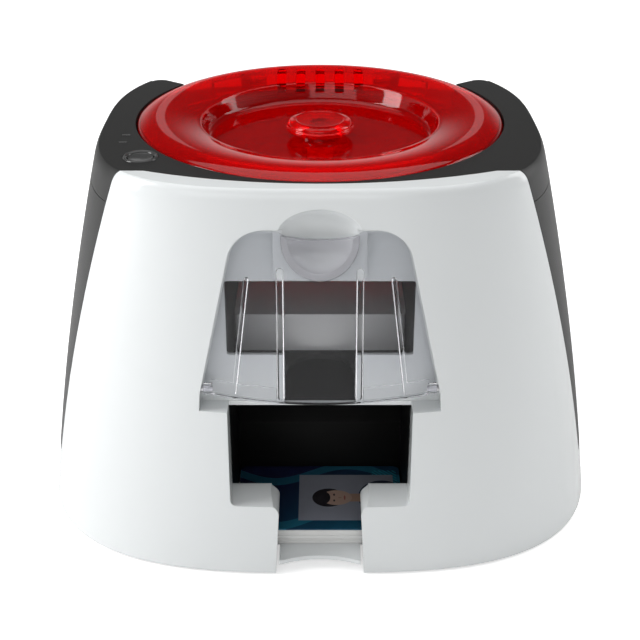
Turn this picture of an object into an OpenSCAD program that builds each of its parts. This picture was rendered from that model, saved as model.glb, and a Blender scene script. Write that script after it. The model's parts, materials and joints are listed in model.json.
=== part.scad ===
// Desktop id card printer: tapered housing, hinged round lid, front feeder and output bay.
// Millimetres. Origin at the centre of the base on the table, front towards -Y, +Z up.

/* [Housing] */
// Width of the housing at the table
body_w = 298; // [280:1:320]
// Depth of the housing at the table
body_d = 248; // [240:1:265]
// Height of the top collar above the table
body_h = 198; // [196:1:206]
// Wall of the moulded shells
wall = 2.5; // [2:0.1:3.5]
// Squareness of the plan outline (2 is an ellipse)
squareness = 3; // [2.6:0.1:3.2]
// Extra squareness of the front half of the outline at the top
top_squareness = 0.3; // [0:0.1:1]
// Loss of squareness of the rear half of the outline at the top
rear_roundness = 0.5; // [0:0.1:0.8]
// Inward lean of the sides per millimetre of height
side_lean = 0.133; // [0.1:0.001:0.15]
// Growth of the side lean with height
side_curve = 0.00034; // [0.0002:0.00001:0.0004]
// Inward lean of the front and rear per millimetre of height
front_lean = 0.066; // [0.04:0.001:0.08]
// Growth of the front lean with height
front_curve = 0.00017; // [0:0.00001:0.0003]
// Height of the base skirt at the sides and rear
skirt_h = 30; // [24:1:34]
// Height of the rubber feet under the shells
foot_h = 1.5; // [1:0.1:3]
// Radius of a rubber foot
foot_r = 8; // [6:0.5:10]

/* [Lid] */
// Width of the collar in front of the round lid
front_rim = 6.9; // [6:0.1:9]
// Width of the collar beside the round lid
side_rim = 15; // [12:0.5:16]
// Gap between the lid and the collar
lid_gap = 0.8; // [0.7:0.1:1]
// Height of the lid's rim above its seat
lid_h = 13.5; // [12:0.5:15]
// Wall of the lid
lid_wall = 2.6; // [2:0.1:3]
// Rise of the lid's crowned rim above the collar
crown = 2.6; // [1.5:0.1:3]
// Width of the crowned rim round the sunken bowl
rim_w = 32.5; // [30:0.5:40]
// Depth of the bowl below the rim
bowl_depth = 11; // [8:0.5:12]
// Radius of the release knob
knob_r = 17.5; // [14:0.5:20]
// Distance of the knob behind the centre
knob_y = 0; // [0:0.5:4]
// Travel of the release knob
knob_travel = 3; // [2:0.1:3.2]
// Distance of the lid hinge behind the lid
hinge_set = 4; // [3.8:0.1:5]
// Radius of the lid hinge pins
hinge_pin_r = 2; // [1.5:0.1:2.5]
// Width of a vent slot in the lid
vent_w = 5; // [4:0.5:6]
// Spacing of the vent slots
vent_pitch = 10.8; // [9:0.1:12]

/* [Cards] */
// Long edge of a card
card_l = 85.6; // [85:0.1:86]
// Short edge of a card
card_w = 54; // [53.5:0.1:54.5]
// Thickness of a card
card_t = 0.76; // [0.5:0.01:0.8]
// Corner radius of a card
card_r = 3.2; // [2.5:0.1:3.5]
// Air between stacked cards
card_air = 0.03; // [0.02:0.01:0.05]
// Untidiness of the printed cards
card_stray = 0.3; // [0:0.1:0.6]
// Printed cards in the output tray
printed_count = 11; // [4:1:16]
// Blank cards in the feeder
blank_count = 26; // [10:1:40]
// Distance of the printed cards behind the front of the base
printed_inset = 14; // [13:0.5:17]
// Front edge of the blank cards behind the centre
blank_y = -64; // [-66:0.5:-63]
// Room beside a card in the feeder and the output bay
card_room = 0.8; // [0.5:0.1:1.2]
// Height of the output tray floor
tray_z = 8.6; // [7.5:0.1:10]
// Height of the card path
path_z = 95.7; // [94:0.1:97]

/* [Feeder door] */
// Width of the door at its bottom edge
door_bottom_w = 111; // [104:1:114]
// Width of the door at the shoulders
door_top_w = 80; // [74:1:84]
// Height of the door's bottom edge
door_z = 99.5; // [98.5:0.1:101]
// Distance of the door's top edge below the collar
door_drop = 18.8; // [16:0.1:22]
// Outer radius of the door's curve
door_bend_r = 150; // [130:1:180]
// Distance of the door's bottom edge behind the front of the base
door_inset = 2; // [1:0.1:4]
// Backward lean of the door in degrees
door_lean = 9.5; // [8:0.1:10.5]
// Wall of the door
door_wall = 2.2; // [1.8:0.1:2.6]
// Gap between the door and its pocket
door_gap = 0.8; // [0.6:0.1:1.5]
// Radius of the finger scoop
scoop_r = 19; // [16:0.5:21]
// Radius of the door hinge pins
door_pin_r = 1.6; // [1.2:0.1:2]

/* [Openings] */
// Width of the finger notch
notch_w = 42; // [36:1:46]
// Height of the output sill
sill_z = 42; // [38:1:48]
// Bottom of the feeder window
window_z = 115; // [112:1:118]
// Distance of the feeder window's top below the collar
window_drop = 46; // [44:1:50]
// Width of the centre channel below the feeder window
channel_w = 34; // [28:1:38]

/* [Mechanism] */
// Thickness of the chassis plates
plate_t = 1.5; // [1.2:0.1:2]
// Room between the end of a card and a chassis plate
frame_room = 5.7; // [5.4:0.1:7]
// Radius of the driven rollers
roller_r = 8; // [7.5:0.1:8]
// Radius of the roller shafts
shaft_r = 3; // [2.5:0.1:3.2]
// Module of the gears
gear_m = 0.8; // [0.78:0.01:0.8]
// Teeth on the roller gears and idlers
roller_teeth = 20; // [20:4:20]
// Teeth on the small reduction gear
small_teeth = 16; // [16:4:16]
// Teeth on the large reduction gear
large_teeth = 48; // [48:4:48]
// Teeth on the motor pinions
pinion_teeth = 12; // [12:4:12]
// Teeth on the take-up gear
takeup_teeth = 36; // [36:4:36]
// Play between meshing teeth
backlash = 0.16; // [0.12:0.01:0.25]
// Width of the gears
gear_w = 4.5; // [4:0.1:5]
// Play of a shaft in its bearing
fit = 0.05; // [0.02:0.01:0.08]
// Play between rubber and cards
nip = 0.25; // [0.2:0.05:0.3]
// Radius of the pinch roller
pinch_r = 5; // [4:0.1:5.5]
// Radius of the ribbon left on the supply spool
supply_r = 15; // [10:0.5:15.5]
// Radius of the ribbon on the take-up spool
takeup_r = 8; // [6.5:0.5:9]

/* [Hidden] */
$fn = 64;

// Plan outline of the housing at a height, drawn in by an inset
shoulder_h = 8;
shoulder_side = 2;
shoulder_front = 8;
shoulder_z = body_h - shoulder_h;
segments = 72;
function shoulder(z) = z <= shoulder_z ? 0 : 1 - sqrt(1 - pow((z - shoulder_z) / (shoulder_h + 1), 2));
function half_w(z) = body_w / 2 - side_lean * z - side_curve * z * z - shoulder_side * shoulder(z);
function half_d(z) = body_d / 2 - front_lean * z - front_curve * z * z - shoulder_front * shoulder(z);
function corner(z, rear) = squareness + (rear ? -rear_roundness : top_squareness) * pow(max(z, 0) / body_h, 4);
function soft(v, power) = sign(v) * pow(abs(v), 2 / power);
function outline(z, inset) = [for (i = [0 : segments - 1])
    let(t = 360 * i / segments, power = corner(z, t < 180))
    [(half_w(z) - inset) * soft(cos(t), power), (half_d(z) - inset) * soft(sin(t), power), z]];
module hull_points(points) hull() polyhedron(points, [[for (i = [0 : len(points) - 1]) i]]);
module loft(levels, inset) for (i = [0 : len(levels) - 2])
    hull_points(concat(outline(levels[i], inset), outline(levels[i + 1], inset)));
// Reach of the front at a height and a distance from the centre plane
function skin_y(x, z) = let(power = corner(z, false))
    half_d(z) * pow(1 - pow(abs(x) / half_w(z), power), 1 / power);
levels = [foot_h, 12, 30, 55, 80, 105, 130, 150, 168, 182, shoulder_z, body_h - 4, body_h - 1.5, body_h];
lower_levels = [for (z = levels) if (z < shoulder_z - 4) z];
skin_levels = concat([0], [for (z = levels) if (z > foot_h) z]);

// Round lid in the collar, and the ledge that carries it
lid_r = min(half_d(body_h) - front_rim, half_w(body_h) - side_rim);
bowl_r = lid_r - rim_w;
collar_r = lid_r + lid_gap;
lid_seat_z = body_h - lid_h;
ledge_t = 2.5;
ledge_r = lid_r - 8.5;
collar_z = lid_seat_z - ledge_t;
collar_end = 36;

// Parting plane between the white front shell and the dark rear housing
base_front = -body_d / 2;
seam_y_top = -80;
seam_y_low = -58;
seam_gap = 0.3;

// The front edge of the collar in plan is an arc of its own
collar_arc_r = 208;
collar_front_y = base_front + 28.1;
module front_zone(back = 0) difference() {
    rotate([90, 0, 90]) translate([0, 0, -body_w]) linear_extrude(2 * body_w)
        polygon([[-body_d, -1], [seam_y_low + back, -1], [seam_y_low + back, skirt_h],
            [seam_y_top + back, body_h + 1], [-body_d, body_h + 1]]);
    translate([0, collar_front_y + collar_arc_r, collar_z - back]) cylinder(r = collar_arc_r - back, h = body_h, $fn = 180);
}

// Extrudes a side view, drawn as [y, z] points, across the width from -w/2 to w/2
module across(w, points) rotate([90, 0, 90]) translate([0, 0, -w / 2]) linear_extrude(w) polygon(points);
module block(x0, x1, y0, y1, z0, z1) translate([x0, y0, z0]) cube([x1 - x0, y1 - y0, z1 - z0]);
module mirror_x() { children(); mirror([1, 0, 0]) children(); }
// A rod along X between two places, at a point of the side view
module rod(x0, x1, at, r) translate([x0, at[0], at[1]]) rotate([0, 90, 0]) cylinder(r = r, h = x1 - x0);

// Output bay, feeder pocket and their walls in the front shell
plate_x = card_l / 2 + frame_room;
bay_w = card_l + 2 * card_room;
bay_x = bay_w / 2;
notch_x = notch_w / 2;
bay_back_y = base_front + 20;
printed_y = base_front + printed_inset;
door_y = base_front + door_inset;
door_top_z = body_h - door_drop;
window_top_z = body_h - window_drop;
pocket_z = door_z - 8.8;
pocket_top_z = door_top_z + door_gap;
sill_drop = 2;
door_x = door_bottom_w / 2;
door_top_x = door_top_w / 2;
door_corner_r = 16;
pocket_floor_low = bay_back_y;
pocket_floor_top = bay_back_y + 7;
function door_edge(z) = door_x + (door_top_x - door_x) * (z - door_z) / (door_top_z - 10 - door_z);
// Door outline in the front view, grown by an amount, with its corners tangent to the slanted sides
door_slant = atan((door_x - door_top_x) / (door_top_z - 10 - door_z));
module door_face(grow, low) {
    r = door_corner_r + grow;
    corner_z = door_top_z - door_corner_r;
    corner_x = door_edge(corner_z) - door_corner_r / cos(door_slant);
    tangent = [corner_x + r * cos(door_slant), corner_z + r * sin(door_slant)];
    foot_x = min(door_edge(low), door_x + 0.6) + grow;
    right = [[foot_x, low], [door_x + grow, door_z], tangent, [corner_x, door_top_z + grow]];
    polygon(concat(right, [for (i = [3 : -1 : 0]) [-right[i][0], right[i][1]]]));
    for (side = [-1, 1]) translate([side * corner_x, corner_z]) circle(r);
}
module through_front(y0, y1) translate([0, y1, 0]) rotate([90, 0, 0]) linear_extrude(y1 - y0) children();
// Front of the pocket floor as a side view with a thickness
module pocket_floor_zone(shift) across(body_w, [[-body_d, pocket_z - 20],
    [pocket_floor_low + shift, pocket_z - 20], [pocket_floor_low + shift, pocket_z],
    [pocket_floor_top + shift, pocket_top_z], [pocket_floor_top + shift, body_h], [-body_d, body_h]]);

module pocket_cut() intersection() {
    through_front(-body_d, 0) door_face(door_gap, pocket_z);
    pocket_floor_zone(0);
}
// Finger scoop above the door: a flattened ball sunk in the shell
scoop_depth = 8;
scoop_ball_r = (scoop_r * scoop_r + scoop_depth * scoop_depth) / (2 * scoop_depth);
scoop_flat = 0.64;
module scoop_ball(grow) translate([0, scoop_depth - scoop_ball_r - skin_y(0, door_top_z), door_top_z - 0.9])
    scale([1, 1, scoop_flat]) sphere(r = scoop_ball_r + grow, $fn = 64);
module window_cut() intersection() {
    union() {
        block(-bay_x, bay_x, -body_d, pocket_floor_top + 7, window_z, window_top_z);
        block(-channel_w / 2, channel_w / 2, -body_d, pocket_floor_top + 7, pocket_z - 1, window_z + 1);
    }
    through_front(-body_d, 0) door_face(0, pocket_z - 1);
}
notch_corner_r = 2;
module bay_cut() {
    across(bay_w, [[-body_d, sill_z - sill_drop], [bay_back_y - 16, sill_z - sill_drop], [bay_back_y - 2, sill_z],
        [bay_back_y + 20, sill_z], [bay_back_y + 20, pocket_z + 1], [-body_d, pocket_z + 1]]);
    through_front(-body_d, bay_back_y + 20) union() {
        polygon([[-notch_x - 1, -1], [notch_x + 1, -1], [notch_x - 1, sill_z + 1], [1 - notch_x, sill_z + 1]]);
        for (side = [-1, 1]) difference() {
            translate([side * (notch_x - 1 + notch_corner_r / 2), sill_z - notch_corner_r / 2])
                square(notch_corner_r + 0.1, center = true);
            translate([side * (notch_x - 1 + notch_corner_r), sill_z - notch_corner_r]) circle(notch_corner_r);
        }
    }
    block(-bay_x, bay_x, printed_y - 2, bay_back_y + 1, -1, tray_z + (printed_count + 1) * (card_t + card_air) + 6);
}

module skin(top) difference() {
    loft(concat([for (z = levels) if (z < top) z], [top]), 0);
    loft(concat([for (z = skin_levels) if (z < top) z], [top, top + 1]), wall);
}

module front_shell() color("white") difference() {
    union() {
        intersection() {
            union() {
                skin(body_h);
                loft([body_h - wall, body_h - 1.5, body_h], 0);
            }
            front_zone();
        }
        intersection() {
            loft(lower_levels, wall / 2);
            union() {
                intersection() {
                    through_front(-body_d, 0) door_face(door_gap + 2, pocket_z - 2);
                    pocket_floor_zone(2);
                }
                block(-bay_x - 2, bay_x + 2, -body_d, bay_back_y, foot_h, pocket_z + 0.5);
            }
        }
        intersection() {
            loft([pocket_top_z - 20, shoulder_z, body_h - 4], wall / 2);
            scoop_ball(2);
            block(-body_w, body_w, -body_d, 0, pocket_top_z - 12, body_h - 3);
        }
    }
    pocket_cut();
    scoop_ball(0);
    window_cut();
    bay_cut();
    mirror_x() {
        block(notch_x + 3.5, bay_x, base_front + 6, bay_back_y + 1, foot_h - 1, sill_z - 8);
        rod(door_x - 5, door_x + 8, door_axis, door_pin_r + fit, $fn = 24);
    }
}

// Top collar: horseshoe round the lid, with the seat for the lid's rim
button_at = [24.5 - half_w(body_h), 38.3 - half_d(body_h)];
button_hole_r = 8.5;
lens_y = [-31, -41.5];
lens_x = 13.3 - half_w(body_h);
lens_half = 2;
lens_w = 1.6;
flange_z = body_h - wall - seam_gap;
// Plan of the collar's sector, with ends that run towards the centre
module collar_sector(gap, z0, z1) translate([0, gap, z0]) linear_extrude(z1 - z0) polygon([[0, 0],
    [body_w * cos(collar_end), body_w * sin(collar_end)], [body_w, -body_w], [-body_w, -body_w],
    [-body_w * cos(collar_end), body_w * sin(collar_end)]]);
module collar_body() intersection() {
    collar_sector(0, collar_z, body_h + 1);
    union() {
        loft(concat([for (z = levels) if (z < flange_z) z], [flange_z]), wall + seam_gap);
        difference() { loft(levels, 0); front_zone(seam_gap); }
    }
}
// Room inside the collar for the button's board
module collar_hollow(inset) difference() {
    loft([collar_z, shoulder_z, flange_z - wall], 2 * wall + seam_gap + inset);
    cylinder(r = collar_r + wall + inset, h = body_h + 5);
    block(-body_w, body_w, -body_d, body_d, -1, collar_z + wall);
}
module top_collar() color([0.2, 0.2, 0.2]) difference() {
    collar_body();
    translate([0, 0, lid_seat_z]) cylinder(r = collar_r, h = body_h);
    cylinder(r = ledge_r, h = body_h + 5);
    collar_hollow(0);
    translate([button_at[0], button_at[1], 0]) cylinder(r = button_hole_r, h = body_h + 5);
    for (y = lens_y) block(lens_x - lens_half, lens_x + lens_half, y - lens_w / 2, y + lens_w / 2, collar_z - 1, body_h + 2);
    scoop_ball(2 + seam_gap);
}

// Rear housing: dark sides and rear with the hinge deck, vents and port recess
ear_x = 42;
ear_w = 6;
ear_r = 4.2;
hinge_y = lid_r + hinge_set;
hinge_z = lid_seat_z + 4.8;
hinge_axis = [hinge_y, hinge_z];
port_x0 = -98;
port_x1 = -54;
port_z0 = skirt_h + 3;
port_z1 = port_z0 + 22;
port_wall_y = 103;
vent_count = 9;
module hinge_ear(x) difference() {
    union() {
        rod(x, x + ear_w, hinge_axis, ear_r);
        block(x, x + ear_w, hinge_y - ear_r, hinge_y + ear_r, lid_seat_z - 1, hinge_z);
    }
    rod(x - 1, x + ear_w + 1, hinge_axis, hinge_pin_r + 0.02, $fn = 32);
}
module rear_zone() difference() {
    block(-body_w, body_w, -body_d, body_d, skirt_h + seam_gap, lid_seat_z);
    front_zone(seam_gap);
    collar_sector(seam_gap, collar_z - seam_gap, body_h);
}
module rear_housing() color([0.22, 0.22, 0.22]) {
    difference() {
        union() {
            intersection() { skin(lid_seat_z + 2); rear_zone(); }
            intersection() {
                loft([collar_z - 6, lid_seat_z + 2], wall / 2);
                difference() {
                    block(-body_w, body_w, 0, body_d, collar_z, lid_seat_z);
                    collar_sector(seam_gap, collar_z - seam_gap, body_h);
                }
            }
            intersection() {
                loft(lower_levels, wall / 2);
                block(port_x0 - 2, port_x1 + 2, port_wall_y - wall, body_d, port_z0 - 2, port_z1 + 2);
            }
        }
        cylinder(r = ledge_r, h = body_h + 5);
        block(port_x0, port_x1, port_wall_y, body_d, port_z0, port_z1);
        block(usb_x - usb_w / 2 - 0.3, usb_x + usb_w / 2 + 0.3, 90, body_d, usb_z - 0.3, usb_z + usb_h + 0.3);
        block(jack_x - jack_w / 2 - 0.3, jack_x + jack_w / 2 + 0.3, 90, body_d, usb_z - 0.3, usb_z + jack_w + 0.3);
        for (i = [0 : vent_count - 1]) translate([20 + 9 * i, 60, 90]) cube([4, 80, 34]);
    }
    for (x = [-ear_x - ear_w, ear_x]) hinge_ear(x);
}

// Base tray: floor, skirt and the floor of the output bay with its finger arch
floor_z = foot_h + 1.5;
floor_t = 2.5;
floor_top = floor_z + floor_t;
tray_front_y = base_front + 3;
arch_depth = 8;
module base_tray() color("whitesmoke") difference() {
    union() {
        intersection() {
            skin(skirt_h);
            difference() { loft([0, skirt_h + 1], -5); front_zone(seam_gap); }
        }
        difference() {
            loft([floor_z, floor_top], wall + seam_gap);
            block(-bay_x - 2.5, bay_x + 2.5, -body_d, bay_back_y + seam_gap, -1, floor_top + 1);
        }
        difference() {
            loft([floor_z, floor_top], wall / 2);
            front_zone(seam_gap);
        }
        block(-notch_x + 0.7, notch_x - 0.7, tray_front_y, bay_back_y + 2, tray_z - floor_t, tray_z);
        block(-liner_in - liner_t - 0.5, liner_in + liner_t + 0.5, bay_back_y + seam_gap, chute_low[0] + 3, floor_z, tray_z);
    }
    translate([0, tray_front_y + arch_depth - arch_r, -1]) cylinder(r = arch_r, h = tray_z + 2, $fn = 96);
    for (at = screw_ats) translate([at[0], at[1], 0]) cylinder(r = screw_r + 0.02, h = tray_z + 2, $fn = 32);
}
arch_half = notch_x - 2;
arch_r = (arch_half * arch_half + arch_depth * arch_depth) / (2 * arch_depth);

// Inner deck: black cover round the ribbon bay under the lid
deck_hole_x = plate_x + plate_t + 2;
deck_hole_y = 64;
deck_z = body_h - 42;
deck_r = ledge_r - 0.5;
module inner_deck() color([0.08, 0.08, 0.08]) difference() {
    union() {
        translate([0, 0, deck_z]) cylinder(r = deck_r, h = wall);
        difference() {
            union() {
                translate([0, 0, deck_z]) cylinder(r = deck_r, h = collar_z + 2 - deck_z);
                translate([0, 0, collar_z - 2]) cylinder(r = deck_r + 5, h = 2);
            }
            translate([0, 0, deck_z - 1]) cylinder(r = deck_r - 2, h = 60);
        }
    }
    intersection() {
        block(-deck_hole_x, deck_hole_x, -34, deck_hole_y, deck_z - 1, collar_z + 5);
        cylinder(r = deck_r - 2.6, h = body_h);
    }
    block(-takeup_gear_x - gear_w - 1, 0, takeup_at[0] - takeup_gear_r - 2, takeup_at[0] + takeup_gear_r + 2, deck_z - 1, collar_z + 5);
    block(-slide_half - 1.5, slide_half + 1.5, -lid_r - 5, 6 - ledge_r, slide_top - slide_t - 1.5, collar_z + 5);
}

// Output bay liner with the chute that brings the printed card forward
liner_in = card_l / 2 + card_room;
chute_top = [-1.5, 88.5];
liner_t = 1.2;
chute_low = [printed_y + card_w + 1.5, 46];
module output_liner() color([0.05, 0.05, 0.05]) {
    mirror_x() block(liner_in, liner_in + liner_t, bay_back_y + seam_gap, chute_low[0], tray_z, pocket_z - 2.5);
    across(2 * (liner_in + liner_t), [chute_low, [chute_low[0], tray_z], [chute_low[0] + 1.8, tray_z],
        [chute_low[0] + 1.8, chute_low[1] - 1], [chute_top[0] + 1.2, chute_top[1] - 2], chute_top]);
}

// Feeder hopper for the blank cards
hopper_t = 1.5;
hopper_x = card_l / 2 + card_room;
gate_y = blank_y + card_w + card_room;
gate_gap = card_t + 0.5;
roller_z = path_z - nip - roller_r;
pick_y = -24;
roller_pitch = 4 * gear_m * roller_teeth / 2;
platen_y = pick_y + roller_pitch;
feed_y = platen_y + roller_pitch;
module feeder_tray() color([0.06, 0.06, 0.06]) difference() {
    union() {
        block(-hopper_x - hopper_t, hopper_x + hopper_t, pocket_floor_low + 2.6, gate_y + hopper_t, path_z - 2.5, path_z);
        mirror_x() block(hopper_x, hopper_x + hopper_t, pocket_floor_top + 1, gate_y + hopper_t, path_z - 2.5, window_top_z);
        block(-hopper_x, hopper_x, gate_y, gate_y + hopper_t, path_z + gate_gap, window_top_z);
        mirror_x() block(hopper_x, plate_x, -58, -36, path_z - 2.5, path_z);
    }
    block(-channel_w / 2, channel_w / 2, -120, blank_y - channel_w / 2 - 4, path_z - 5, path_z + 1);
    translate([0, blank_y - channel_w / 2 - 4, path_z - 5]) cylinder(r = channel_w / 2, h = 10);
    block(-16, 16, pick_y - 7, pick_y + 7, path_z - 5, path_z + 1);
}

// Guide plate under the card path, slotted for the rollers
guide_half = plate_x;
module card_guide() color([0.7, 0.7, 0.72]) difference() {
    block(-guide_half, guide_half, gate_y + hopper_t + 0.5, 92, path_z - 2, path_z);
    block(-liner_in, liner_in, -10, 3.2, path_z - 5, path_z + 1);
    for (y = [platen_y, feed_y]) block(-guide_half + 3.5, guide_half - 3.5, y - 6.2, y + 6.2, path_z - 5, path_z + 1);
}

// Cards
module card() linear_extrude(card_t) union() {
    translate([card_r - card_l / 2, 0]) square([card_l - 2 * card_r, card_w]);
    translate([-card_l / 2, card_r]) square([card_l, card_w - 2 * card_r]);
    for (x = [card_r - card_l / 2, card_l / 2 - card_r]) for (y = [card_r, card_w - card_r])
        translate([x, y]) circle(card_r, $fn = 24);
}
module card_stack(count, y, z, stray) for (i = [0 : count - 1])
    translate([stray * sin(137 * i), y + stray * cos(97 * i), z + i * (card_t + card_air)]) card();
module blank_cards() color("white") card_stack(blank_count, blank_y, path_z, 0);
module printed_cards() color("ghostwhite") card_stack(printed_count, printed_y, tray_z, card_stray);
module printed_card_top() color([0.1, 0.3, 0.5])
    translate([0, printed_y, tray_z + printed_count * (card_t + card_air)]) card();

// Chassis plates
bush_r = shaft_r + 2;
takeup_at = [-14, body_h - 33];
supply_at = [46, path_z + 40.3];
pivot_at = [74, 110];
hub_r = 3;
pinch_at = [feed_y, path_z + card_t + nip + pinch_r];
small_r = gear_m * small_teeth / 2;
large_r = gear_m * large_teeth / 2;
pinion_r = gear_m * pinion_teeth / 2;
roller_gear_r = gear_m * roller_teeth / 2;
takeup_gear_r = gear_m * takeup_teeth / 2;
reduction_angle = -60;
motor_angle = -70;
reduction_at = [feed_y, roller_z] + (roller_gear_r + small_r) * [cos(reduction_angle), sin(reduction_angle)];
motor_at = reduction_at + (large_r + pinion_r) * [cos(motor_angle), sin(motor_angle)];
ribbon_motor_angle = 270;
ribbon_motor_at = takeup_at + (takeup_gear_r + pinion_r) * [cos(ribbon_motor_angle), sin(ribbon_motor_angle)];
roller_ys = [pick_y, platen_y, feed_y];
idler_ys = [(pick_y + platen_y) / 2, (platen_y + feed_y) / 2];
tie_ats = [[-45, 22], [60, 22], [78, 70]];
tie_r = 2.5;
flap_at = [-5, 91.4];
motor_r = 14;
module plate_outline() difference() {
    polygon([[-62, floor_top], [84, floor_top], [84, pivot_at[1] + 12], [62, supply_at[1] + 16],
        [32, supply_at[1] + 16], [4, takeup_at[1] - 23], [2, takeup_at[1] + 7], [-30, takeup_at[1] + 7],
        [-34, takeup_at[1] - 15], [-62, path_z + 22.3]]);
    for (y = roller_ys) translate([y, roller_z]) circle(bush_r);
    translate(pinch_at) circle(pinch_axle_r + fit);
    translate(pivot_at) circle(pivot_r + 0.02);
    translate(flap_at) circle(flap_pin_r + fit);
    for (at = tie_ats) translate(at) circle(tie_r);
    for (at = [supply_at, takeup_at]) {
        translate(at) circle(hub_r + fit);
        translate([at[0] - hub_r - fit, at[1]]) square([2 * (hub_r + fit), 60]);
    }
    translate([0, 30]) circle(12);
}
pinch_axle_r = 2;
pivot_r = 3;
flap_pin_r = 1.2;
module side_plate(x) translate([x, 0, 0]) rotate([90, 0, 90]) linear_extrude(plate_t) children();
screw_r = 1.5;
screw_ats = [for (x = [-plate_x - 9, plate_x + 9]) for (y = [-50, 66]) [x, y]];
module chassis_foot(at) difference() {
    block(min(at[0] - 5, sign(at[0]) * plate_x), max(at[0] + 5, sign(at[0]) * plate_x), at[1] - 6, at[1] + 6,
        floor_top, floor_top + plate_t);
    translate([at[0], at[1], 0]) cylinder(r = screw_r + 0.02, h = 20);
}
module chassis_left() color([0.6, 0.62, 0.64]) {
    side_plate(-plate_x - plate_t) plate_outline();
    for (at = screw_ats) if (at[0] < 0) chassis_foot(at);
}
module chassis_right() color([0.6, 0.62, 0.64]) {
    side_plate(plate_x) difference() {
        plate_outline();
        translate(motor_at) circle(4);
        for (y = idler_ys) translate([y, roller_z]) circle(stud_r);
        translate(reduction_at) circle(stud_r);
    }
    for (at = screw_ats) if (at[0] > 0) chassis_foot(at);
}
stud_r = 2;
module tie_rods() color("silver") for (at = tie_ats) {
    rod(-plate_x - plate_t, plate_x + plate_t, at, tie_r);
    for (x = [-plate_x - plate_t - 2, plate_x + plate_t]) rod(x, x + 2, at, tie_r + 2, $fn = 6);
}
bush_flange = 1;
module bearing_bushes() color([0.85, 0.65, 0.3]) mirror_x() for (y = roller_ys) difference() {
    union() {
        rod(plate_x - 0.02, plate_x + plate_t, [y, roller_z], bush_r);
        rod(plate_x - bush_flange, plate_x, [y, roller_z], bush_r + 1);
    }
    rod(plate_x - 3, plate_x + plate_t + 1, [y, roller_z], shaft_r + fit);
}
module carriage_pin() color("silver") {
    rod(-plate_x - plate_t - 2, plate_x + plate_t + 2, pivot_at, pivot_r);
}

// Gears
function mesh_phase(angle, phase, n1, n2) =
    angle + 180 - (0.5 - (angle - phase) * n1 / 360) * 360 / n2;
pressure = 20;
function involute_turn(r, base) = r <= base ? 0 : let(a = acos(base / r)) tan(a) * 180 / PI - a;
function tooth_half(r, n) = let(rp = gear_m * n / 2, base = rp * cos(pressure))
    (90 / n - backlash / (2 * rp) * 90 / PI * 2) + involute_turn(rp, base) - involute_turn(r, base);
module gear_profile(n) {
    rp = gear_m * n / 2;
    base = rp * cos(pressure);
    root = rp - 1.2 * gear_m;
    radii = [max(root + 0.2, min(base, rp - 0.4)), rp - 0.2 * gear_m, rp + 0.3 * gear_m, rp + 0.9 * gear_m];
    polygon([for (i = [0 : n - 1]) let(mid = 360 * i / n, low = 180 / n - tooth_half(radii[0], n) * 0.999)
        each concat(
            [[root * cos(mid - 180 / n + low * 0.5), root * sin(mid - 180 / n + low * 0.5)]],
            [for (r = radii) [r * cos(mid - tooth_half(r, n)), r * sin(mid - tooth_half(r, n))]],
            [for (k = [3 : -1 : 0]) let(r = radii[k]) [r * cos(mid + tooth_half(r, n)), r * sin(mid + tooth_half(r, n))]],
            [[root * cos(mid + 180 / n - low * 0.5), root * sin(mid + 180 / n - low * 0.5)]])]);
}
// A gear on a shaft along X, turned in the side view
module gear(at, x, w, n, phase, bore) translate([x, at[0], at[1]]) rotate([90, 0, 90]) rotate(phase)
    linear_extrude(w) difference() { gear_profile(n); circle(bore); }
gear_x = plate_x + plate_t + 1;
large_x = gear_x + gear_w + 0.6;
pick_phase = 0;
idler_front_phase = mesh_phase(0, pick_phase, roller_teeth, roller_teeth);
platen_phase = mesh_phase(0, idler_front_phase, roller_teeth, roller_teeth);
idler_rear_phase = mesh_phase(0, platen_phase, roller_teeth, roller_teeth);
feed_phase = mesh_phase(0, idler_rear_phase, roller_teeth, roller_teeth);
small_phase = mesh_phase(reduction_angle, feed_phase, roller_teeth, small_teeth);
large_phase = 0;
motor_phase = mesh_phase(motor_angle, large_phase, large_teeth, pinion_teeth);
takeup_phase = 0;
ribbon_motor_phase = mesh_phase(ribbon_motor_angle, takeup_phase, takeup_teeth, pinion_teeth);

// Rollers
roller_x = card_l / 2 + 0.2;
module roller_shaft(y) rod(-plate_x - plate_t - 2, gear_x + gear_w + 0.3, [y, roller_z], shaft_r);
module tyre(y, x0, x1) difference() {
    rod(x0, x1, [y, roller_z], roller_r);
    rod(x0 - 1, x1 + 1, [y, roller_z], shaft_r);
}
module roller_gear(y, phase) color([0.9, 0.88, 0.8]) gear([y, roller_z], gear_x, gear_w, roller_teeth, phase, shaft_r);
module pick_shaft() color("silver") roller_shaft(pick_y);
module pick_tyre() color([0.15, 0.15, 0.15]) tyre(pick_y, -14, 14);
module pick_gear() roller_gear(pick_y, pick_phase);
module platen_shaft() color("silver") roller_shaft(platen_y);
module platen_sleeve() color([0.12, 0.12, 0.12]) tyre(platen_y, -roller_x, roller_x);
module platen_gear() roller_gear(platen_y, platen_phase);
module feed_shaft() color("silver") roller_shaft(feed_y);
module feed_tyres() color([0.15, 0.15, 0.15]) for (x = [-36, -8, 20]) tyre(feed_y, x, x + 16);
module feed_gear() roller_gear(feed_y, feed_phase);
module pinch_roller() color([0.5, 0.5, 0.52]) {
    rod(-plate_x - plate_t, plate_x + plate_t, pinch_at, pinch_axle_r);
    rod(-roller_x, roller_x, pinch_at, pinch_r);
}
module idler(y, phase) color([0.9, 0.88, 0.8]) gear([y, roller_z], gear_x, gear_w, roller_teeth, phase, stud_r + fit);
module idler_front() idler(idler_ys[0], idler_front_phase);
module idler_rear() idler(idler_ys[1], idler_rear_phase);
module idler_studs() color("silver") {
    for (y = idler_ys) {
        rod(plate_x, gear_x + gear_w + 0.6, [y, roller_z], stud_r);
    }
    rod(plate_x, large_x + gear_w + 0.6, reduction_at, stud_r);
}
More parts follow.
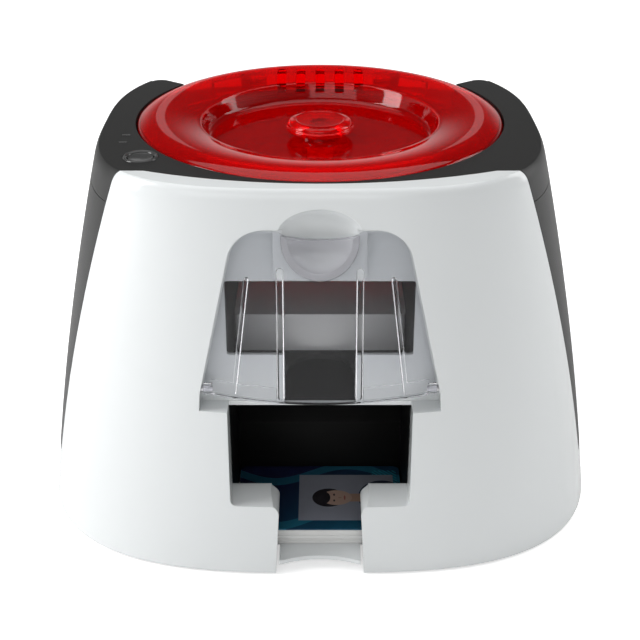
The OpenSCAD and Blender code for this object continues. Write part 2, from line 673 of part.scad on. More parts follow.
module reduction_gear() color([0.92, 0.9, 0.82]) {
    gear(reduction_at, gear_x, gear_w + 0.6, small_teeth, small_phase, stud_r + fit);
    gear(reduction_at, large_x, gear_w, large_teeth, large_phase, stud_r + fit);
}
motor_l = 34;
motor_shaft_r = 1.5;
module drive_motor() color([0.55, 0.56, 0.58]) {
    rod(plate_x - motor_l, plate_x, motor_at, motor_r);
    rod(plate_x, plate_x + 1, motor_at, 3.9);
}
module motor_pinion() color([0.8, 0.7, 0.4]) {
    gear(motor_at, large_x - 0.2, gear_w + 0.4, pinion_teeth, motor_phase, motor_shaft_r - 0.3);
    rod(plate_x + 1.2, large_x + gear_w + 0.2, motor_at, motor_shaft_r);
}

// Print head carriage, swung up on its rear pin to load the ribbon
arm_t = 1.5;
arm_x = plate_x - 0.8 - arm_t;
bar_front = [platen_y - 9, path_z + 4.8];
bar_rear = [platen_y + 9, path_z + 4.8];
bar_r = 1.6;
module head_carriage() color([0.3, 0.31, 0.33]) {
    mirror_x() translate([arm_x, 0, 0]) rotate([90, 0, 90]) linear_extrude(arm_t) difference() {
        union() {
            polygon([[platen_y - 12, path_z + 2.4], [platen_y + 12, path_z + 2.4], [platen_y + 14, 106],
                [pivot_at[0], pivot_at[1] - 5], [pivot_at[0], pivot_at[1] + 5], [platen_y + 8, 117],
                [platen_y - 12, 115]]);
            translate(pivot_at) circle(5);
        }
        translate(pivot_at) circle(pivot_r + fit);
        for (at = [bar_front, bar_rear]) translate(at) circle(bar_r);
    }
    block(-arm_x, arm_x, platen_y - 6, platen_y + 6, 109, 112);
    block(-arm_x, arm_x, platen_y - 6, platen_y - 4, 109, 117);
}
module guide_bars() color("silver") for (at = [bar_front, bar_rear]) rod(-arm_x - arm_t, arm_x + arm_t, at, bar_r);
head_x = card_l / 2 + 0.4;
module print_head() color([0.75, 0.76, 0.78]) {
    across(2 * head_x, [[platen_y - 4, 109], [platen_y - 4, path_z + 6], [platen_y - 0.6, path_z + 1.35],
        [platen_y + 0.8, path_z + 1.35], [platen_y + 5, path_z + 5], [platen_y + 5, 109]]);
}
module diverter_flap() color([0.1, 0.1, 0.1]) {
    rod(-plate_x - 0.5, plate_x + 0.5, flap_at, flap_pin_r);
    across(2 * head_x, [flap_at + [-1, 0.6], flap_at + [0.6, -1], flap_at + [6.8, 2.6], flap_at + [6.6, 3.2]]);
}

// Ribbon spools, in slots that are open upwards
spool_x = arm_x - 0.6;
film_x = card_l / 2;
module spool_core(at, core_r, flange_r, x_left, x_right) {
    rod(x_left, x_right, at, hub_r);
    rod(-spool_x, spool_x, at, core_r);
    for (x = [-spool_x, spool_x - 1.2]) rod(x, x + 1.2, at, flange_r);
}
module film_roll(at, r, core_r) difference() {
    rod(-film_x, film_x, at, r);
    rod(-film_x - 1, film_x + 1, at, core_r);
}
takeup_gear_x = plate_x + plate_t + 1;
module supply_core() color([0.85, 0.85, 0.83]) spool_core(supply_at, 6, 17, -plate_x - plate_t - 1, plate_x + plate_t + 1);
module supply_film() color([0.1, 0.1, 0.12]) film_roll(supply_at, supply_r, 6);
module takeup_core() color([0.85, 0.85, 0.83]) {
    spool_core(takeup_at, 5, 10.5, -takeup_gear_x - gear_w, plate_x + plate_t + 1);
    gear(takeup_at, -takeup_gear_x - gear_w, gear_w, takeup_teeth, takeup_phase, hub_r - 0.3);
}
module takeup_film() color([0.1, 0.1, 0.12]) film_roll(takeup_at, takeup_r, 5);
web_t = 0.12;
module ribbon_web() color([0.15, 0.15, 0.3]) {
    leave_front = [takeup_at[0] + takeup_r + 0.3, takeup_at[1]];
    leave_rear = [supply_at[0] - supply_r - 0.3, supply_at[1]];
    turn = bar_r + 0.4;
    nip_at = [platen_y, path_z + card_t + 0.3];
    run = concat([leave_front], [for (a = [185 : 17 : 270]) bar_front + turn * [cos(a), sin(a)]], [nip_at],
        [for (a = [270 : 17 : 355]) bar_rear + turn * [cos(a), sin(a)]], [leave_rear]);
    middle = (len(run) - 1) / 2;
    back = [for (i = [len(run) - 1 : -1 : 0]) let(a = 180 + 180 * max(0, min(1, 0.5 + (i - middle) / (2 * middle - 4))))
        run[i] + web_t * [cos(a), sin(a)]];
    across(2 * film_x - 2, concat(run, back));
}
ribbon_motor_r = 9;
module ribbon_motor() color([0.55, 0.56, 0.58]) {
    rod(-takeup_gear_x - gear_w - 26, -takeup_gear_x - gear_w - 1, ribbon_motor_at, ribbon_motor_r);
    for (a = [180, 0]) rod(-takeup_gear_x - gear_w - 2, -plate_x - plate_t,
        ribbon_motor_at + (ribbon_motor_r - 1.6) * [cos(a), sin(a)], 1.5);
}
module ribbon_pinion() color([0.8, 0.7, 0.4]) {
    gear(ribbon_motor_at, -takeup_gear_x - gear_w, gear_w, pinion_teeth, ribbon_motor_phase, motor_shaft_r - 0.3);
    rod(-takeup_gear_x - gear_w - 0.6, -plate_x - plate_t - 0.5, ribbon_motor_at, motor_shaft_r);
}

// Electronics
board_z = 34;
usb_x = -66;
usb_w = 12;
usb_h = 11;
usb_z = board_z + 1.6;
jack_x = -84;
jack_w = 11;
board_front_y = 28;
board_back_y = 98;
module control_board() color([0.1, 0.4, 0.2]) {
    block(-104, -56, board_front_y, board_back_y, board_z, usb_z);
    for (x = [-98, -62]) for (y = [board_front_y + 6, board_back_y - 8])
        translate([x, y, floor_top]) cylinder(r = 3, h = board_z - floor_top);
    color([0.1, 0.1, 0.1]) {
        block(-96, -80, 50, 66, usb_z, usb_z + 1.6);
        for (i = [0 : 3]) block(-74, -64, 34 + 9 * i, 40 + 9 * i, usb_z, usb_z + 6);
    }
    color("silver") for (i = [0 : 1]) translate([-98 + 11 * i, 38, usb_z]) cylinder(r = 4, h = 12);
}
module data_socket() color("silver") difference() {
    block(usb_x - usb_w / 2, usb_x + usb_w / 2, board_back_y - 12, port_wall_y + 0.5, usb_z, usb_z + usb_h);
    difference() {
        block(usb_x - 4.3, usb_x + 4.3, board_back_y - 4, port_wall_y + 2, usb_z + 1.4, usb_z + usb_h - 1.6);
        block(usb_x - 2.8, usb_x + 2.8, board_back_y - 5, port_wall_y - 1, usb_z + 3.6, usb_z + 6.8);
    }
}
module power_socket() color([0.08, 0.08, 0.08]) difference() {
    block(jack_x - jack_w / 2, jack_x + jack_w / 2, board_back_y - 10, port_wall_y + 0.5, usb_z, usb_z + jack_w);
    difference() {
        translate([jack_x, port_wall_y + 1, usb_z + jack_w / 2]) rotate([90, 0, 0]) cylinder(r = 3.1, h = 11);
        translate([jack_x, port_wall_y, usb_z + jack_w / 2]) rotate([90, 0, 0]) cylinder(r = 1, h = 12);
    }
}

// Lid
rim_z = lid_seat_z + lid_h;
seat_gap = 0.3;
bowl_z = rim_z - bowl_depth;
stem_r = 5;
boss_r = 9;
boss_top = bowl_z + 1.5;
cap_z = rim_z - 7.6;
cap_hollow_z = boss_top + knob_travel + 0.3;
rear_lip = 3.8;
rear_lip_half = 62.6;
slide_top = bowl_z - lid_wall - 3;
slide_t = 3;
slide_half = 6.5;
latch_bite = 3;
knuckle_w = 9;
vent_back_y = lid_r - 19;
knuckle_x = ear_x - 0.4 - knuckle_w;
vent_z = bowl_z + 4.8;
// Height of the crowned rim at a radius: a tight curve outside its crest and a slack one inside
crown_r = lid_r - 10;
function crown_z(r) = rim_z + crown - pow(r - crown_r, 2) / (r > crown_r ? 32 : 126);
crown_in = bowl_r + 1.2;
crown_out = lid_r - 0.4;
module lid_profile() polygon(concat(
    [[lid_r - lid_wall, lid_seat_z + seat_gap], [lid_r, lid_seat_z + seat_gap], [lid_r, rim_z - 1.6]],
    [for (k = [0 : 10]) let(r = crown_out + (crown_in - crown_out) * pow(k / 10, 1.5)) [r, crown_z(r)]],
    [[bowl_r, rim_z - 1.8], [bowl_r - 2.5, bowl_z + 1], [bowl_r - 4, bowl_z], [0, bowl_z], [0, bowl_z - lid_wall],
        [bowl_r - 3, bowl_z - lid_wall], [bowl_r - 0.5, bowl_z - lid_wall + 1.6]],
    [for (k = [0 : 8]) let(r = bowl_r + 2 + (lid_r - lid_wall - bowl_r - 2) * k / 8) [r, crown_z(r) - lid_wall]]));
// Ribbed guide of the knob's stem, with its spring inside
boss_low = slide_top + 0.4;
spring_seat = boss_low + 1.4;
module boss_outline() union() {
    circle(boss_r);
    for (i = [0 : 3]) rotate(45 * i) square([2 * boss_r + 2, 2.4], center = true);
}
clip_ys = [-bowl_r + 10.5, -24];
module lid() color([0.8, 0.05, 0.05, 0.7]) difference() {
    union() {
        rotate_extrude($fn = 128) lid_profile();
        translate([0, knob_y, boss_low]) linear_extrude(boss_top - boss_low) boss_outline();
        intersection() {
            translate([0, 0, lid_seat_z + 1.5]) difference() {
                cylinder(r = lid_r + rear_lip, h = lid_h - 5.5, $fn = 128);
                translate([0, 0, -1]) cylinder(r = lid_r - 1, h = lid_h, $fn = 128);
            }
            block(-rear_lip_half, rear_lip_half, bowl_r, body_d, 0, body_h);
        }
        mirror_x() {
            rod(knuckle_x, knuckle_x + knuckle_w, hinge_axis, ear_r);
            block(knuckle_x, knuckle_x + knuckle_w, lid_r - 12, hinge_y, hinge_z - 1.5, hinge_z + ear_r);
        }
        for (y = clip_ys) mirror_x() {
            block(slide_half + 0.4, slide_half + 2.4, y - 4, y + 4, slide_top - slide_t - 1.8, bowl_z - lid_wall + 0.5);
            block(slide_half - 1.6, slide_half + 2.4, y - 4, y + 4, slide_top - slide_t - 1.8, slide_top - slide_t - 0.3);
        }
    }
    translate([0, knob_y, 0]) cylinder(r = stem_r + 0.3, h = body_h);
    translate([0, knob_y, spring_seat]) cylinder(r = boss_r - 1, h = body_h);
    mirror_x() rod(knuckle_x - 1, knuckle_x + knuckle_w + 1, hinge_axis, hinge_pin_r + fit);
    for (i = [-2 : 2]) {
        block(i * vent_pitch - vent_w / 2, i * vent_pitch + vent_w / 2, bowl_r - 4, vent_back_y, vent_z, rim_z + 4);
        translate([i * vent_pitch, vent_back_y, vent_z]) cylinder(r = vent_w / 2, h = 20, $fn = 24);
    }
}
module lid_pins() color("silver") mirror_x() rod(knuckle_x + 0.3, ear_x + ear_w, hinge_axis, hinge_pin_r);

// Release knob, its spring and the sliding latch that it draws back
module release_knob() color([0.85, 0.1, 0.1]) translate([0, knob_y, 0]) {
    difference() {
        rotate_extrude($fn = 96) polygon([[0, cap_z], [knob_r - 1, cap_z], [knob_r, cap_z + 1.1], [knob_r, cap_z + 2.4],
            [knob_r - 0.7, cap_z + 2.9], [knob_r - 0.9, cap_z + 4.1], [knob_r - 1.9, cap_z + 5.2],
            [knob_r - 4.9, cap_z + 5.8], [knob_r - 5.5, cap_z + 5.5], [0, cap_z + 5.5]]);
        translate([0, 0, cap_z - 1]) cylinder(r = boss_r + 1.6, h = cap_hollow_z - cap_z + 1);
    }
    translate([0, 0, wedge_top]) cylinder(r = stem_r, h = cap_hollow_z - wedge_top + 0.5);
    across(2 * wedge_half, [[1 - stem_r, wedge_top + 0.5], [stem_r - 1, wedge_top + 0.5], [stem_r - 1, wedge_top],
        [2 - stem_r, wedge_top - 2 * stem_r + 3], [1 - stem_r, wedge_top - 2 * stem_r + 3]]);
}
// Coil spring swept as rings of points along a helix
coil_turns = 4;
coil_r = 6.8;
wire_r = 0.5;
coil_steps = 20;
wire_sides = 6;
module knob_spring() color("silver") {
    rings = coil_turns * coil_steps;
    rise = cap_hollow_z - spring_seat - 2 * wire_r - 0.2;
    points = [for (i = [0 : rings]) let(a = 360 * i / coil_steps) for (k = [0 : wire_sides - 1])
        let(b = 360 * k / wire_sides, r = coil_r + wire_r * cos(b))
        [r * cos(a), r * sin(a), spring_seat + 0.1 + wire_r + rise * i / rings + wire_r * sin(b)]];
    sides = [for (i = [0 : rings - 1]) for (k = [0 : wire_sides - 1]) let(n = (k + 1) % wire_sides, o = i * wire_sides)
        [o + k, o + wire_sides + k, o + wire_sides + n, o + n]];
    translate([0, knob_y, 0]) polyhedron(points, concat([[for (k = [0 : wire_sides - 1]) k]], sides,
        [[for (k = [wire_sides - 1 : -1 : 0]) rings * wire_sides + k]]));
}
module latch_slider() color([0.3, 0.3, 0.32]) difference() {
    block(-slide_half, slide_half, -ledge_r - latch_bite, knob_y + 14, slide_top - slide_t, slide_top);
    translate([0, knob_y, 0]) across(2 * wedge_half + 0.8, [[-stem_r - knob_travel, slide_top + 1],
        [slope_y + 1, slide_top + 1], [slope_y - slide_t - 1, slide_top - slide_t - 1],
        [-stem_r - knob_travel, slide_top - slide_t - 1]]);
}
// Wedge on the knob's stem that draws the latch back by as much as the knob goes down
wedge_half = 3;
wedge_top = slide_top + knob_travel;
slope_y = stem_r - 1 - knob_travel + 0.4;

// Feeder door
door_axis = [door_y + 12.5, door_z + 1.5];
// Tilted cylinder that the door is bent to, with its outer face at the named front
module door_bend(r, bottom) translate([0, door_y, door_z]) rotate([-door_lean, 0, 0])
    translate([0, door_bend_r, bottom]) cylinder(r = r, h = 200, $fn = 180);
module door_plate(outer, inner) difference() {
    door_bend(door_bend_r - outer, -40);
    door_bend(door_bend_r - inner, -50);
}
rib_w = 2.4;
rib_top_z = door_top_z - 23;
step_h = 6.5;
edge_dip = 5;
edge_dip_r = (scoop_r * scoop_r + edge_dip * edge_dip) / (2 * edge_dip);
dent_depth = 5;
dent_ball_r = (scoop_r * scoop_r + dent_depth * dent_depth) / (2 * dent_depth);
module dent_ball(grow) translate([0, dent_depth - dent_ball_r + door_y + (door_top_z - door_z) * tan(door_lean), door_top_z - 1.2])
    sphere(r = dent_ball_r + grow);
module feeder_door() color([0.55, 0.56, 0.6, 0.5]) {
    difference() {
        union() {
            difference() {
                intersection() {
                    through_front(-body_d, pocket_floor_top) door_face(0, door_z);
                    door_plate(0, door_wall);
                }
                dent_ball(0);
            }
            intersection() {
                through_front(-body_d, pocket_floor_top) door_face(0, door_z);
                difference() { dent_ball(door_wall); dent_ball(0); }
                door_bend(door_bend_r - 0.4, -40);
            }
            intersection() {
                through_front(-body_d, pocket_floor_top) union() {
                    for (x = [-18, 18]) translate([x - rib_w / 2, door_z + 1]) square([rib_w, rib_top_z - door_z]);
                    for (s = [-1, 1]) polygon([[s * 39, door_z + 2], [s * 40.6, door_z + 2],
                        [s * 34, rib_top_z - 5], [s * 32.4, rib_top_z - 5]]);
                    translate([4 - door_x, door_z]) square([2 * door_x - 8, step_h]);
                }
                door_plate(door_wall - 0.2, door_wall + 1.4);
            }
            mirror_x() {
                rod(door_x - 5, door_x - 1, door_axis, 3);
                block(door_x - 5, door_x - 1, door_axis[0] - 3.6, door_axis[0], door_axis[1] - 1.5, door_axis[1] + 2.5);
            }
        }
        through_front(-body_d, 0) translate([0, door_top_z - edge_dip + edge_dip_r]) circle(edge_dip_r);
        mirror_x() {
            rod(door_x - 8, door_x - 0.9, door_axis, door_pin_r + fit);
            block(door_x - 1, door_x + 1, -body_d, 0, door_z - 1, door_axis[1] + 3);
        }
    }
}
module door_pins() color([0.05, 0.05, 0.05]) mirror_x() rod(door_x - 5.5, door_x + 2.2, door_axis, door_pin_r);

// Power button and indicators
button_travel = 1;
module power_button() color([0.25, 0.25, 0.25]) translate([button_at[0], button_at[1], 0]) {
    translate([0, 0, body_h - 3]) cylinder(r = 6, h = 3.3);
    translate([0, 0, body_h - 7]) cylinder(r = 1.6, h = 5);
}
module button_ring() color([0.3, 0.3, 0.3]) translate([button_at[0], button_at[1], 0]) difference() {
    translate([0, 0, body_h - wall]) cylinder(r = button_hole_r - 0.02, h = wall + 0.6);
    translate([0, 0, body_h - wall - 1]) cylinder(r = 6.3, h = wall + 3);
}
board_top = body_h - 9.6;
module button_board() color([0.1, 0.4, 0.2]) intersection() {
    collar_hollow(0.3);
    translate([0, 0, board_top - 1.4]) linear_extrude(1.4)
        polygon([[0, 0], [-body_w, lens_y[0] / lens_x * -body_w + 40], [-body_w, button_at[1] / button_at[0] * -body_w]]);
}
module indicator_lenses() color([0.5, 0.5, 0.5]) for (y = lens_y)
    block(lens_x - lens_half + 0.02, lens_x + lens_half - 0.02, y - lens_w / 2 + 0.02, y + lens_w / 2 - 0.02,
        board_top, body_h + 0.1);

module rubber_feet() color([0.1, 0.1, 0.1]) for (x = [-100, 100]) for (y = [-72, 72])
    translate([x, y, 0]) cylinder(r = foot_r, h = floor_z);
module case_screws() color("silver") for (at = screw_ats) translate([at[0], at[1], floor_z - 1]) {
    cylinder(r = 2 * screw_r, h = 1);
    cylinder(r = screw_r, h = floor_t + 4);
}

base_tray();
front_shell();
rear_housing();
top_collar();
inner_deck();
output_liner();
feeder_tray();
card_guide();
blank_cards();
printed_cards();
printed_card_top();
chassis_left();
chassis_right();
tie_rods();
bearing_bushes();
carriage_pin();
pick_shaft();
pick_tyre();
pick_gear();
platen_shaft();
platen_sleeve();
platen_gear();
feed_shaft();
feed_tyres();
feed_gear();
pinch_roller();
idler_front();
idler_rear();
idler_studs();
reduction_gear();
drive_motor();
motor_pinion();
head_carriage();
guide_bars();
print_head();
diverter_flap();
supply_core();
supply_film();
takeup_core();
takeup_film();
ribbon_web();
ribbon_motor();
ribbon_pinion();
control_board();
data_socket();
power_socket();
lid();
lid_pins();
release_knob();
knob_spring();
latch_slider();
feeder_door();
door_pins();
power_button();
button_ring();
button_board();
indicator_lenses();
rubber_feet();
case_screws();
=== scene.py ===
import json
import math

import bmesh
import bpy
from mathutils import Matrix, Vector


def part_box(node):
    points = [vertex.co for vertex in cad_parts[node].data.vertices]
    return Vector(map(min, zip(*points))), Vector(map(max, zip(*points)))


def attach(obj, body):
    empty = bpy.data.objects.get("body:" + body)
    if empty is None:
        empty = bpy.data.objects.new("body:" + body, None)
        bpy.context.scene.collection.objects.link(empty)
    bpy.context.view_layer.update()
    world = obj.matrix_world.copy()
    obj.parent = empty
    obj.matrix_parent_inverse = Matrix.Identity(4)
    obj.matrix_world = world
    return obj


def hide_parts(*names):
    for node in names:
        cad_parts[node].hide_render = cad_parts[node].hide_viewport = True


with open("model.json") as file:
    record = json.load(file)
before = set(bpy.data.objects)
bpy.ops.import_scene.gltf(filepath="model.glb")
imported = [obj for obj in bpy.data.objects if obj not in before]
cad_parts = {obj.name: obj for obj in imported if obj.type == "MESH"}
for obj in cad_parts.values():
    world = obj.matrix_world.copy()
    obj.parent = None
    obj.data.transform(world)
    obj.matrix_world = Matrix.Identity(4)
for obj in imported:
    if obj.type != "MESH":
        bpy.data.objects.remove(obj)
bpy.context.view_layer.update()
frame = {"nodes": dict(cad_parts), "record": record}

bl_info = {
    "name": "Id Card Printer",
    "version": (1, 0, 0),
    "blender": (4, 5, 0),
    "location": "3D View > Sidebar > Card Printer",
    "description": "Dresses the packed card printer with smooth mouldings, finishes, lights and a camera",
    "category": "Object",
}

MM = 0.001
WHITE_SLOT = "white_gloss"
DARK_SLOT = "dark_plastic"
RED_SLOT = "red_clear"
SMOKE_SLOT = "smoke_clear"


def distance(name, description, default):
    """A length property in metres."""
    return bpy.props.FloatProperty(
        name=name, description=description, default=default, min=0.0, subtype="DISTANCE", unit="LENGTH", precision=4
    )


def colour(name, description, default):
    """A colour property."""
    return bpy.props.FloatVectorProperty(
        name=name, description=description, default=default, size=3, min=0.0, max=1.0, subtype="COLOR"
    )


class HousingSizes(bpy.types.PropertyGroup):
    """Sizes of the moulded housing."""

    width: distance("Width", "Width of the housing at the table", 0.298)
    depth: distance("Depth", "Depth of the housing at the table", 0.2478)
    height: distance("Height", "Height of the collar above the table", 0.198)
    wall: distance("Wall", "Thickness of the moulded shells", 0.0025)
    skirt: distance("Skirt", "Height of the base skirt at the sides and rear", 0.030)
    foot: distance("Foot", "Height of the rubber feet", 0.0015)
    squareness: bpy.props.FloatProperty(
        name="Squareness", description="Power of the plan outline at the table", default=3.0, min=2.0, max=5.0
    )
    top_squareness: bpy.props.FloatProperty(
        name="Top Squareness", description="Power added to the front half at the top", default=0.3, min=0.0, max=1.0
    )
    rear_roundness: bpy.props.FloatProperty(
        name="Rear Roundness", description="Power taken from the rear half at the top", default=0.5, min=0.0, max=0.9
    )


class LidSizes(bpy.types.PropertyGroup):
    """Sizes of the round lid and its knob."""

    radius: distance("Radius", "Radius of the lid", 0.09303)
    height: distance("Height", "Height of the lid above its seat", 0.0135)
    wall: distance("Wall", "Thickness of the lid", 0.0026)
    bowl_radius: distance("Bowl Radius", "Radius of the sunken bowl", 0.06053)
    bowl_depth: distance("Bowl Depth", "Depth of the sunken bowl", 0.011)
    knob_radius: distance("Knob Radius", "Radius of the release knob", 0.0175)
    crown: distance("Crown", "Rise of the lid's rim above the collar", 0.00258)


class DoorSizes(bpy.types.PropertyGroup):
    """Sizes of the feeder door."""

    bottom_width: distance("Bottom Width", "Width of the door at its bottom edge", 0.111)
    top_width: distance("Top Width", "Width of the door at its shoulders", 0.080)
    bottom: distance("Bottom", "Height of the bottom edge", 0.0995)
    top: distance("Top", "Height of the top edge", 0.1792)
    bend: distance("Bend", "Outer radius of the door's curve", 0.150)
    wall: distance("Wall", "Thickness of the door", 0.0022)
    lean: bpy.props.FloatProperty(
        name="Lean", description="Backward lean of the door", default=math.radians(9.5),
        subtype="ANGLE", unit="ROTATION",
    )


class FinishColours(bpy.types.PropertyGroup):
    """Colours of the main finishes."""

    white: colour("White", "Gloss white of the front shell", (0.76, 0.785, 0.79))
    dark: colour("Dark", "Textured grey of the collar and the rear housing", (0.020, 0.020, 0.0195))
    red: colour("Red", "Transparent red of the lid", (0.86, 0.0, 0.001))
    smoke: colour("Smoke", "Tint of the feeder door", (0.74, 0.745, 0.765))
    print_deep: colour("Print Deep", "Deep blue of the printed card", (0.004, 0.006, 0.05))
    print_light: colour("Print Light", "Teal of the printed card", (0.0, 0.10, 0.16))


class PrinterSettings(bpy.types.PropertyGroup):
    """Everything that the card printer's operators read."""

    housing: bpy.props.PointerProperty(type=HousingSizes, name="Housing", description="Sizes of the housing")
    lid: bpy.props.PointerProperty(type=LidSizes, name="Lid", description="Sizes of the lid")
    door: bpy.props.PointerProperty(type=DoorSizes, name="Door", description="Sizes of the feeder door")
    colours: bpy.props.PointerProperty(type=FinishColours, name="Colours", description="Colours of the finishes")


def settings():
    """The printer's settings on the scene."""
    return bpy.context.scene.card_printer


# Closed solids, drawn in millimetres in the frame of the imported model


def solid(vertices, faces):
    """A closed mesh object from millimetre points, with its faces turned outwards."""
    mesh = bpy.data.meshes.new("solid")
    mesh.from_pydata([Vector(v) * MM for v in vertices], [], faces)
    work = bmesh.new()
    work.from_mesh(mesh)
    bmesh.ops.recalc_face_normals(work, faces=work.faces)
    work.to_mesh(mesh)
    work.free()
    piece = bpy.data.objects.new("solid", mesh)
    bpy.context.scene.collection.objects.link(piece)
    return piece


def ringed(rings):
    """A solid through rings of as many points each, closed by flat ends."""
    count = len(rings[0])
    vertices = [point for ring in rings for point in ring]
    faces = [
        (r * count + k, r * count + (k + 1) % count, (r + 1) * count + (k + 1) % count, (r + 1) * count + k)
        for r in range(len(rings) - 1)
        for k in range(count)
    ]
    faces.append(tuple(reversed(range(count))))
    faces.append(tuple(range((len(rings) - 1) * count, len(rings) * count)))
    return solid(vertices, faces)


def extruded(points, place, low, high):
    """A flat outline drawn through the solid's third direction; place turns (u, v, w) into (x, y, z)."""
    return ringed([[place(u, v, w) for u, v in points] for w in (low, high)])


def across(points, x0, x1):
    """A side view of (y, z) points, drawn along X."""
    return extruded(points, lambda u, v, w: (w, u, v), x0, x1)


def through(points, y0, y1):
    """A front view of (x, z) points, drawn along Y."""
    return extruded(points, lambda u, v, w: (u, w, v), y0, y1)


def upright(points, z0, z1):
    """A plan of (x, y) points, drawn along Z."""
    return extruded(points, lambda u, v, w: (u, v, w), z0, z1)


def oblong(u0, u1, v0, v1):
    """Corners of a rectangle in a flat view."""
    return [(u0, v0), (u1, v0), (u1, v1), (u0, v1)]


def block(x0, x1, y0, y1, z0, z1):
    """A box between two corners."""
    return upright(oblong(x0, x1, y0, y1), z0, z1)


def circle(centre, radius, steps=96):
    """Points of a circle in a flat view."""
    return [
        (centre[0] + radius * math.cos(a), centre[1] + radius * math.sin(a))
        for a in (2 * math.pi * k / steps for k in range(steps))
    ]


def rod(x0, x1, centre, radius, steps=48):
    """A round bar along X through a point of the side view."""
    return across(circle(centre, radius, steps), x0, x1)


def post(centre, radius, z0, z1, steps=96):
    """A round bar along Z."""
    return upright(circle(centre, radius, steps), z0, z1)


def ball(centre, radius, flat=1.0, turns=128, rows=64):
    """A ball, flattened along Z."""
    rings = []
    for row in range(1, rows):
        a = math.pi * row / rows - math.pi / 2
        z = centre[2] + radius * flat * math.sin(a)
        rings.append([(x, y, z) for x, y in circle(centre[:2], radius * math.cos(a), turns)])
    return ringed(rings)


def turned(profile, steps=256, centre=(0.0, 0.0)):
    """A closed (radius, height) profile turned round a vertical axis; points on the axis are shared."""
    vertices, index = [], []
    for r, z in profile:
        if r < 1e-6:
            index.append([len(vertices)] * steps)
            vertices.append((centre[0], centre[1], z))
        else:
            index.append(list(range(len(vertices), len(vertices) + steps)))
            vertices += [(x, y, z) for x, y in circle(centre, r, steps)]
    faces = []
    for a, b in zip(index, index[1:] + index[:1]):
        for k in range(steps):
            corners = [a[k], a[(k + 1) % steps], b[(k + 1) % steps], b[k]]
            corners = list(dict.fromkeys(corners))
            if len(corners) > 2:
                faces.append(tuple(corners))
    return solid(vertices, faces)


def rounded(points, radii, steps=6):
    """A closed outline with each corner rounded by its own radius."""
    out = []
    for k, corner in enumerate(points):
        before, after = Vector(points[k - 1]), Vector(points[(k + 1) % len(points)])
        corner = Vector(corner)
        one, two = before - corner, after - corner
        reach = min(radii[k], 0.49 * one.length, 0.49 * two.length)
        if reach < 1e-4:
            out.append(tuple(corner))
            continue
        start, end = corner + one.normalized() * reach, corner + two.normalized() * reach
        for s in range(steps + 1):
            t = s / steps
            out.append(tuple((1 - t) ** 2 * start + 2 * t * (1 - t) * corner + t * t * end))
    return out


def eased(section, steps=6):
    """A closed outline from (x, y, corner radius) points."""
    return rounded([point[:2] for point in section], [point[2] for point in section], steps)


def combine(target, operation, tools):
    """Joins, cuts or trims a solid by others in turn, which are used up."""
    for tool in tools:
        step = target.modifiers.new("combine", "BOOLEAN")
        step.operation = operation
        step.solver = "MANIFOLD"
        step.object = tool
        graph = bpy.context.evaluated_depsgraph_get()
        mesh = bpy.data.meshes.new_from_object(target.evaluated_get(graph))
        target.modifiers.clear()
        target.data = mesh
        bpy.data.objects.remove(tool, do_unlink=True)
        if not mesh.polygons:
            raise RuntimeError("a combined solid came out empty")
    return target


def cut(target, *tools):
    """Takes the tools' solids away."""
    return combine(target, "DIFFERENCE", tools)


def join(target, *tools):
    """Adds the tools' solids."""
    return combine(target, "UNION", tools)


def trim(target, tool):
    """Keeps what lies in both."""
    return combine(target, "INTERSECT", (tool,))


def mirrored(make):
    """A solid and its mirror image across the centre plane."""
    pair = []
    for side in (1, -1):
        piece = make()
        if side < 0:
            piece.data.transform(Matrix.Diagonal((-1.0, 1.0, 1.0, 1.0)))
            piece.data.flip_normals()
        pair.append(piece)
    return pair


def finish_piece(piece, name, body, slot, nodes=(), crease=32.0, finish=None):
    """Names a finished solid, shades it, gives it its material and sets it on its body."""
    piece.name = name
    piece.data.name = name
    work = bmesh.new()
    work.from_mesh(piece.data)
    bmesh.ops.remove_doubles(work, verts=work.verts, dist=1e-6)
    bmesh.ops.dissolve_degenerate(work, edges=work.edges, dist=2e-6)
    work.to_mesh(piece.data)
    work.free()
    piece.data.shade_smooth()
    piece.data.set_sharp_from_angle(angle=math.radians(crease))
    piece.data.materials.clear()
    piece.data.materials.append(finish_of(finish or slot))
    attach(piece, body)
    if nodes:
        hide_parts(*nodes)
    return piece


# The lofted housing


# Millimetres, apart from the curves' factors and the angle
SHOULDER, SHOULDER_SIDE, SHOULDER_FRONT, SHOULDER_POWER = 8.0, 3.4, 8.0, 3.2
SEGMENTS, ROUND = 240, 360
SIDE_LEAN, SIDE_CURVE = 0.133, 0.00034
FRONT_LEAN, FRONT_CURVE = 0.066, 0.00017
SEAM_GAP, SEAM_TOP, SEAM_LOW = 0.3, -80.0, -58.0
COLLAR_ARC, COLLAR_FRONT, COLLAR_END, ARM_ROUND = 208.0, -95.9, math.radians(36), 6.0
LEDGE, LEDGE_RADIUS, LID_GAP = 2.5, 84.53, 0.8
BUTTON, BUTTON_HOLE, BUTTON_RADIUS = (-83.75, -61.63), 8.5, 6.0
LENS_X, LENSES = -94.95, (-31.0, -41.5)
HINGE, EAR, EAR_X, EAR_WIDE = (97.03, 189.3), 4.2, 42.0, 6.0
PORTS, PORT_LOW, PORT_HIGH = ((-72.3, -59.7), (-89.8, -78.2)), 35.3, 46.9
RECESS, RECESS_FLOOR, RECESS_LOW, RECESS_HIGH = (-98, -54), 103, 3, 25
VENTS, VENT_X, VENT_PITCH, VENT_WIDE, VENT_LOW, VENT_HIGH = 9, 20, 9, 4, 90, 124
SILL, SILL_DROP = 42.0, 2.0
BAY_BACK, BAY_HALF, NOTCH_HALF, NOTCH_CORNER = -104.0, 43.6, 21.0, 4.5
POCKET_DROP, POCKET_LEAN = 8.8, 7
WINDOW_LOW, WINDOW_HIGH, CHANNEL_HALF, WINDOW_BACK = 115, 152, 17, -90
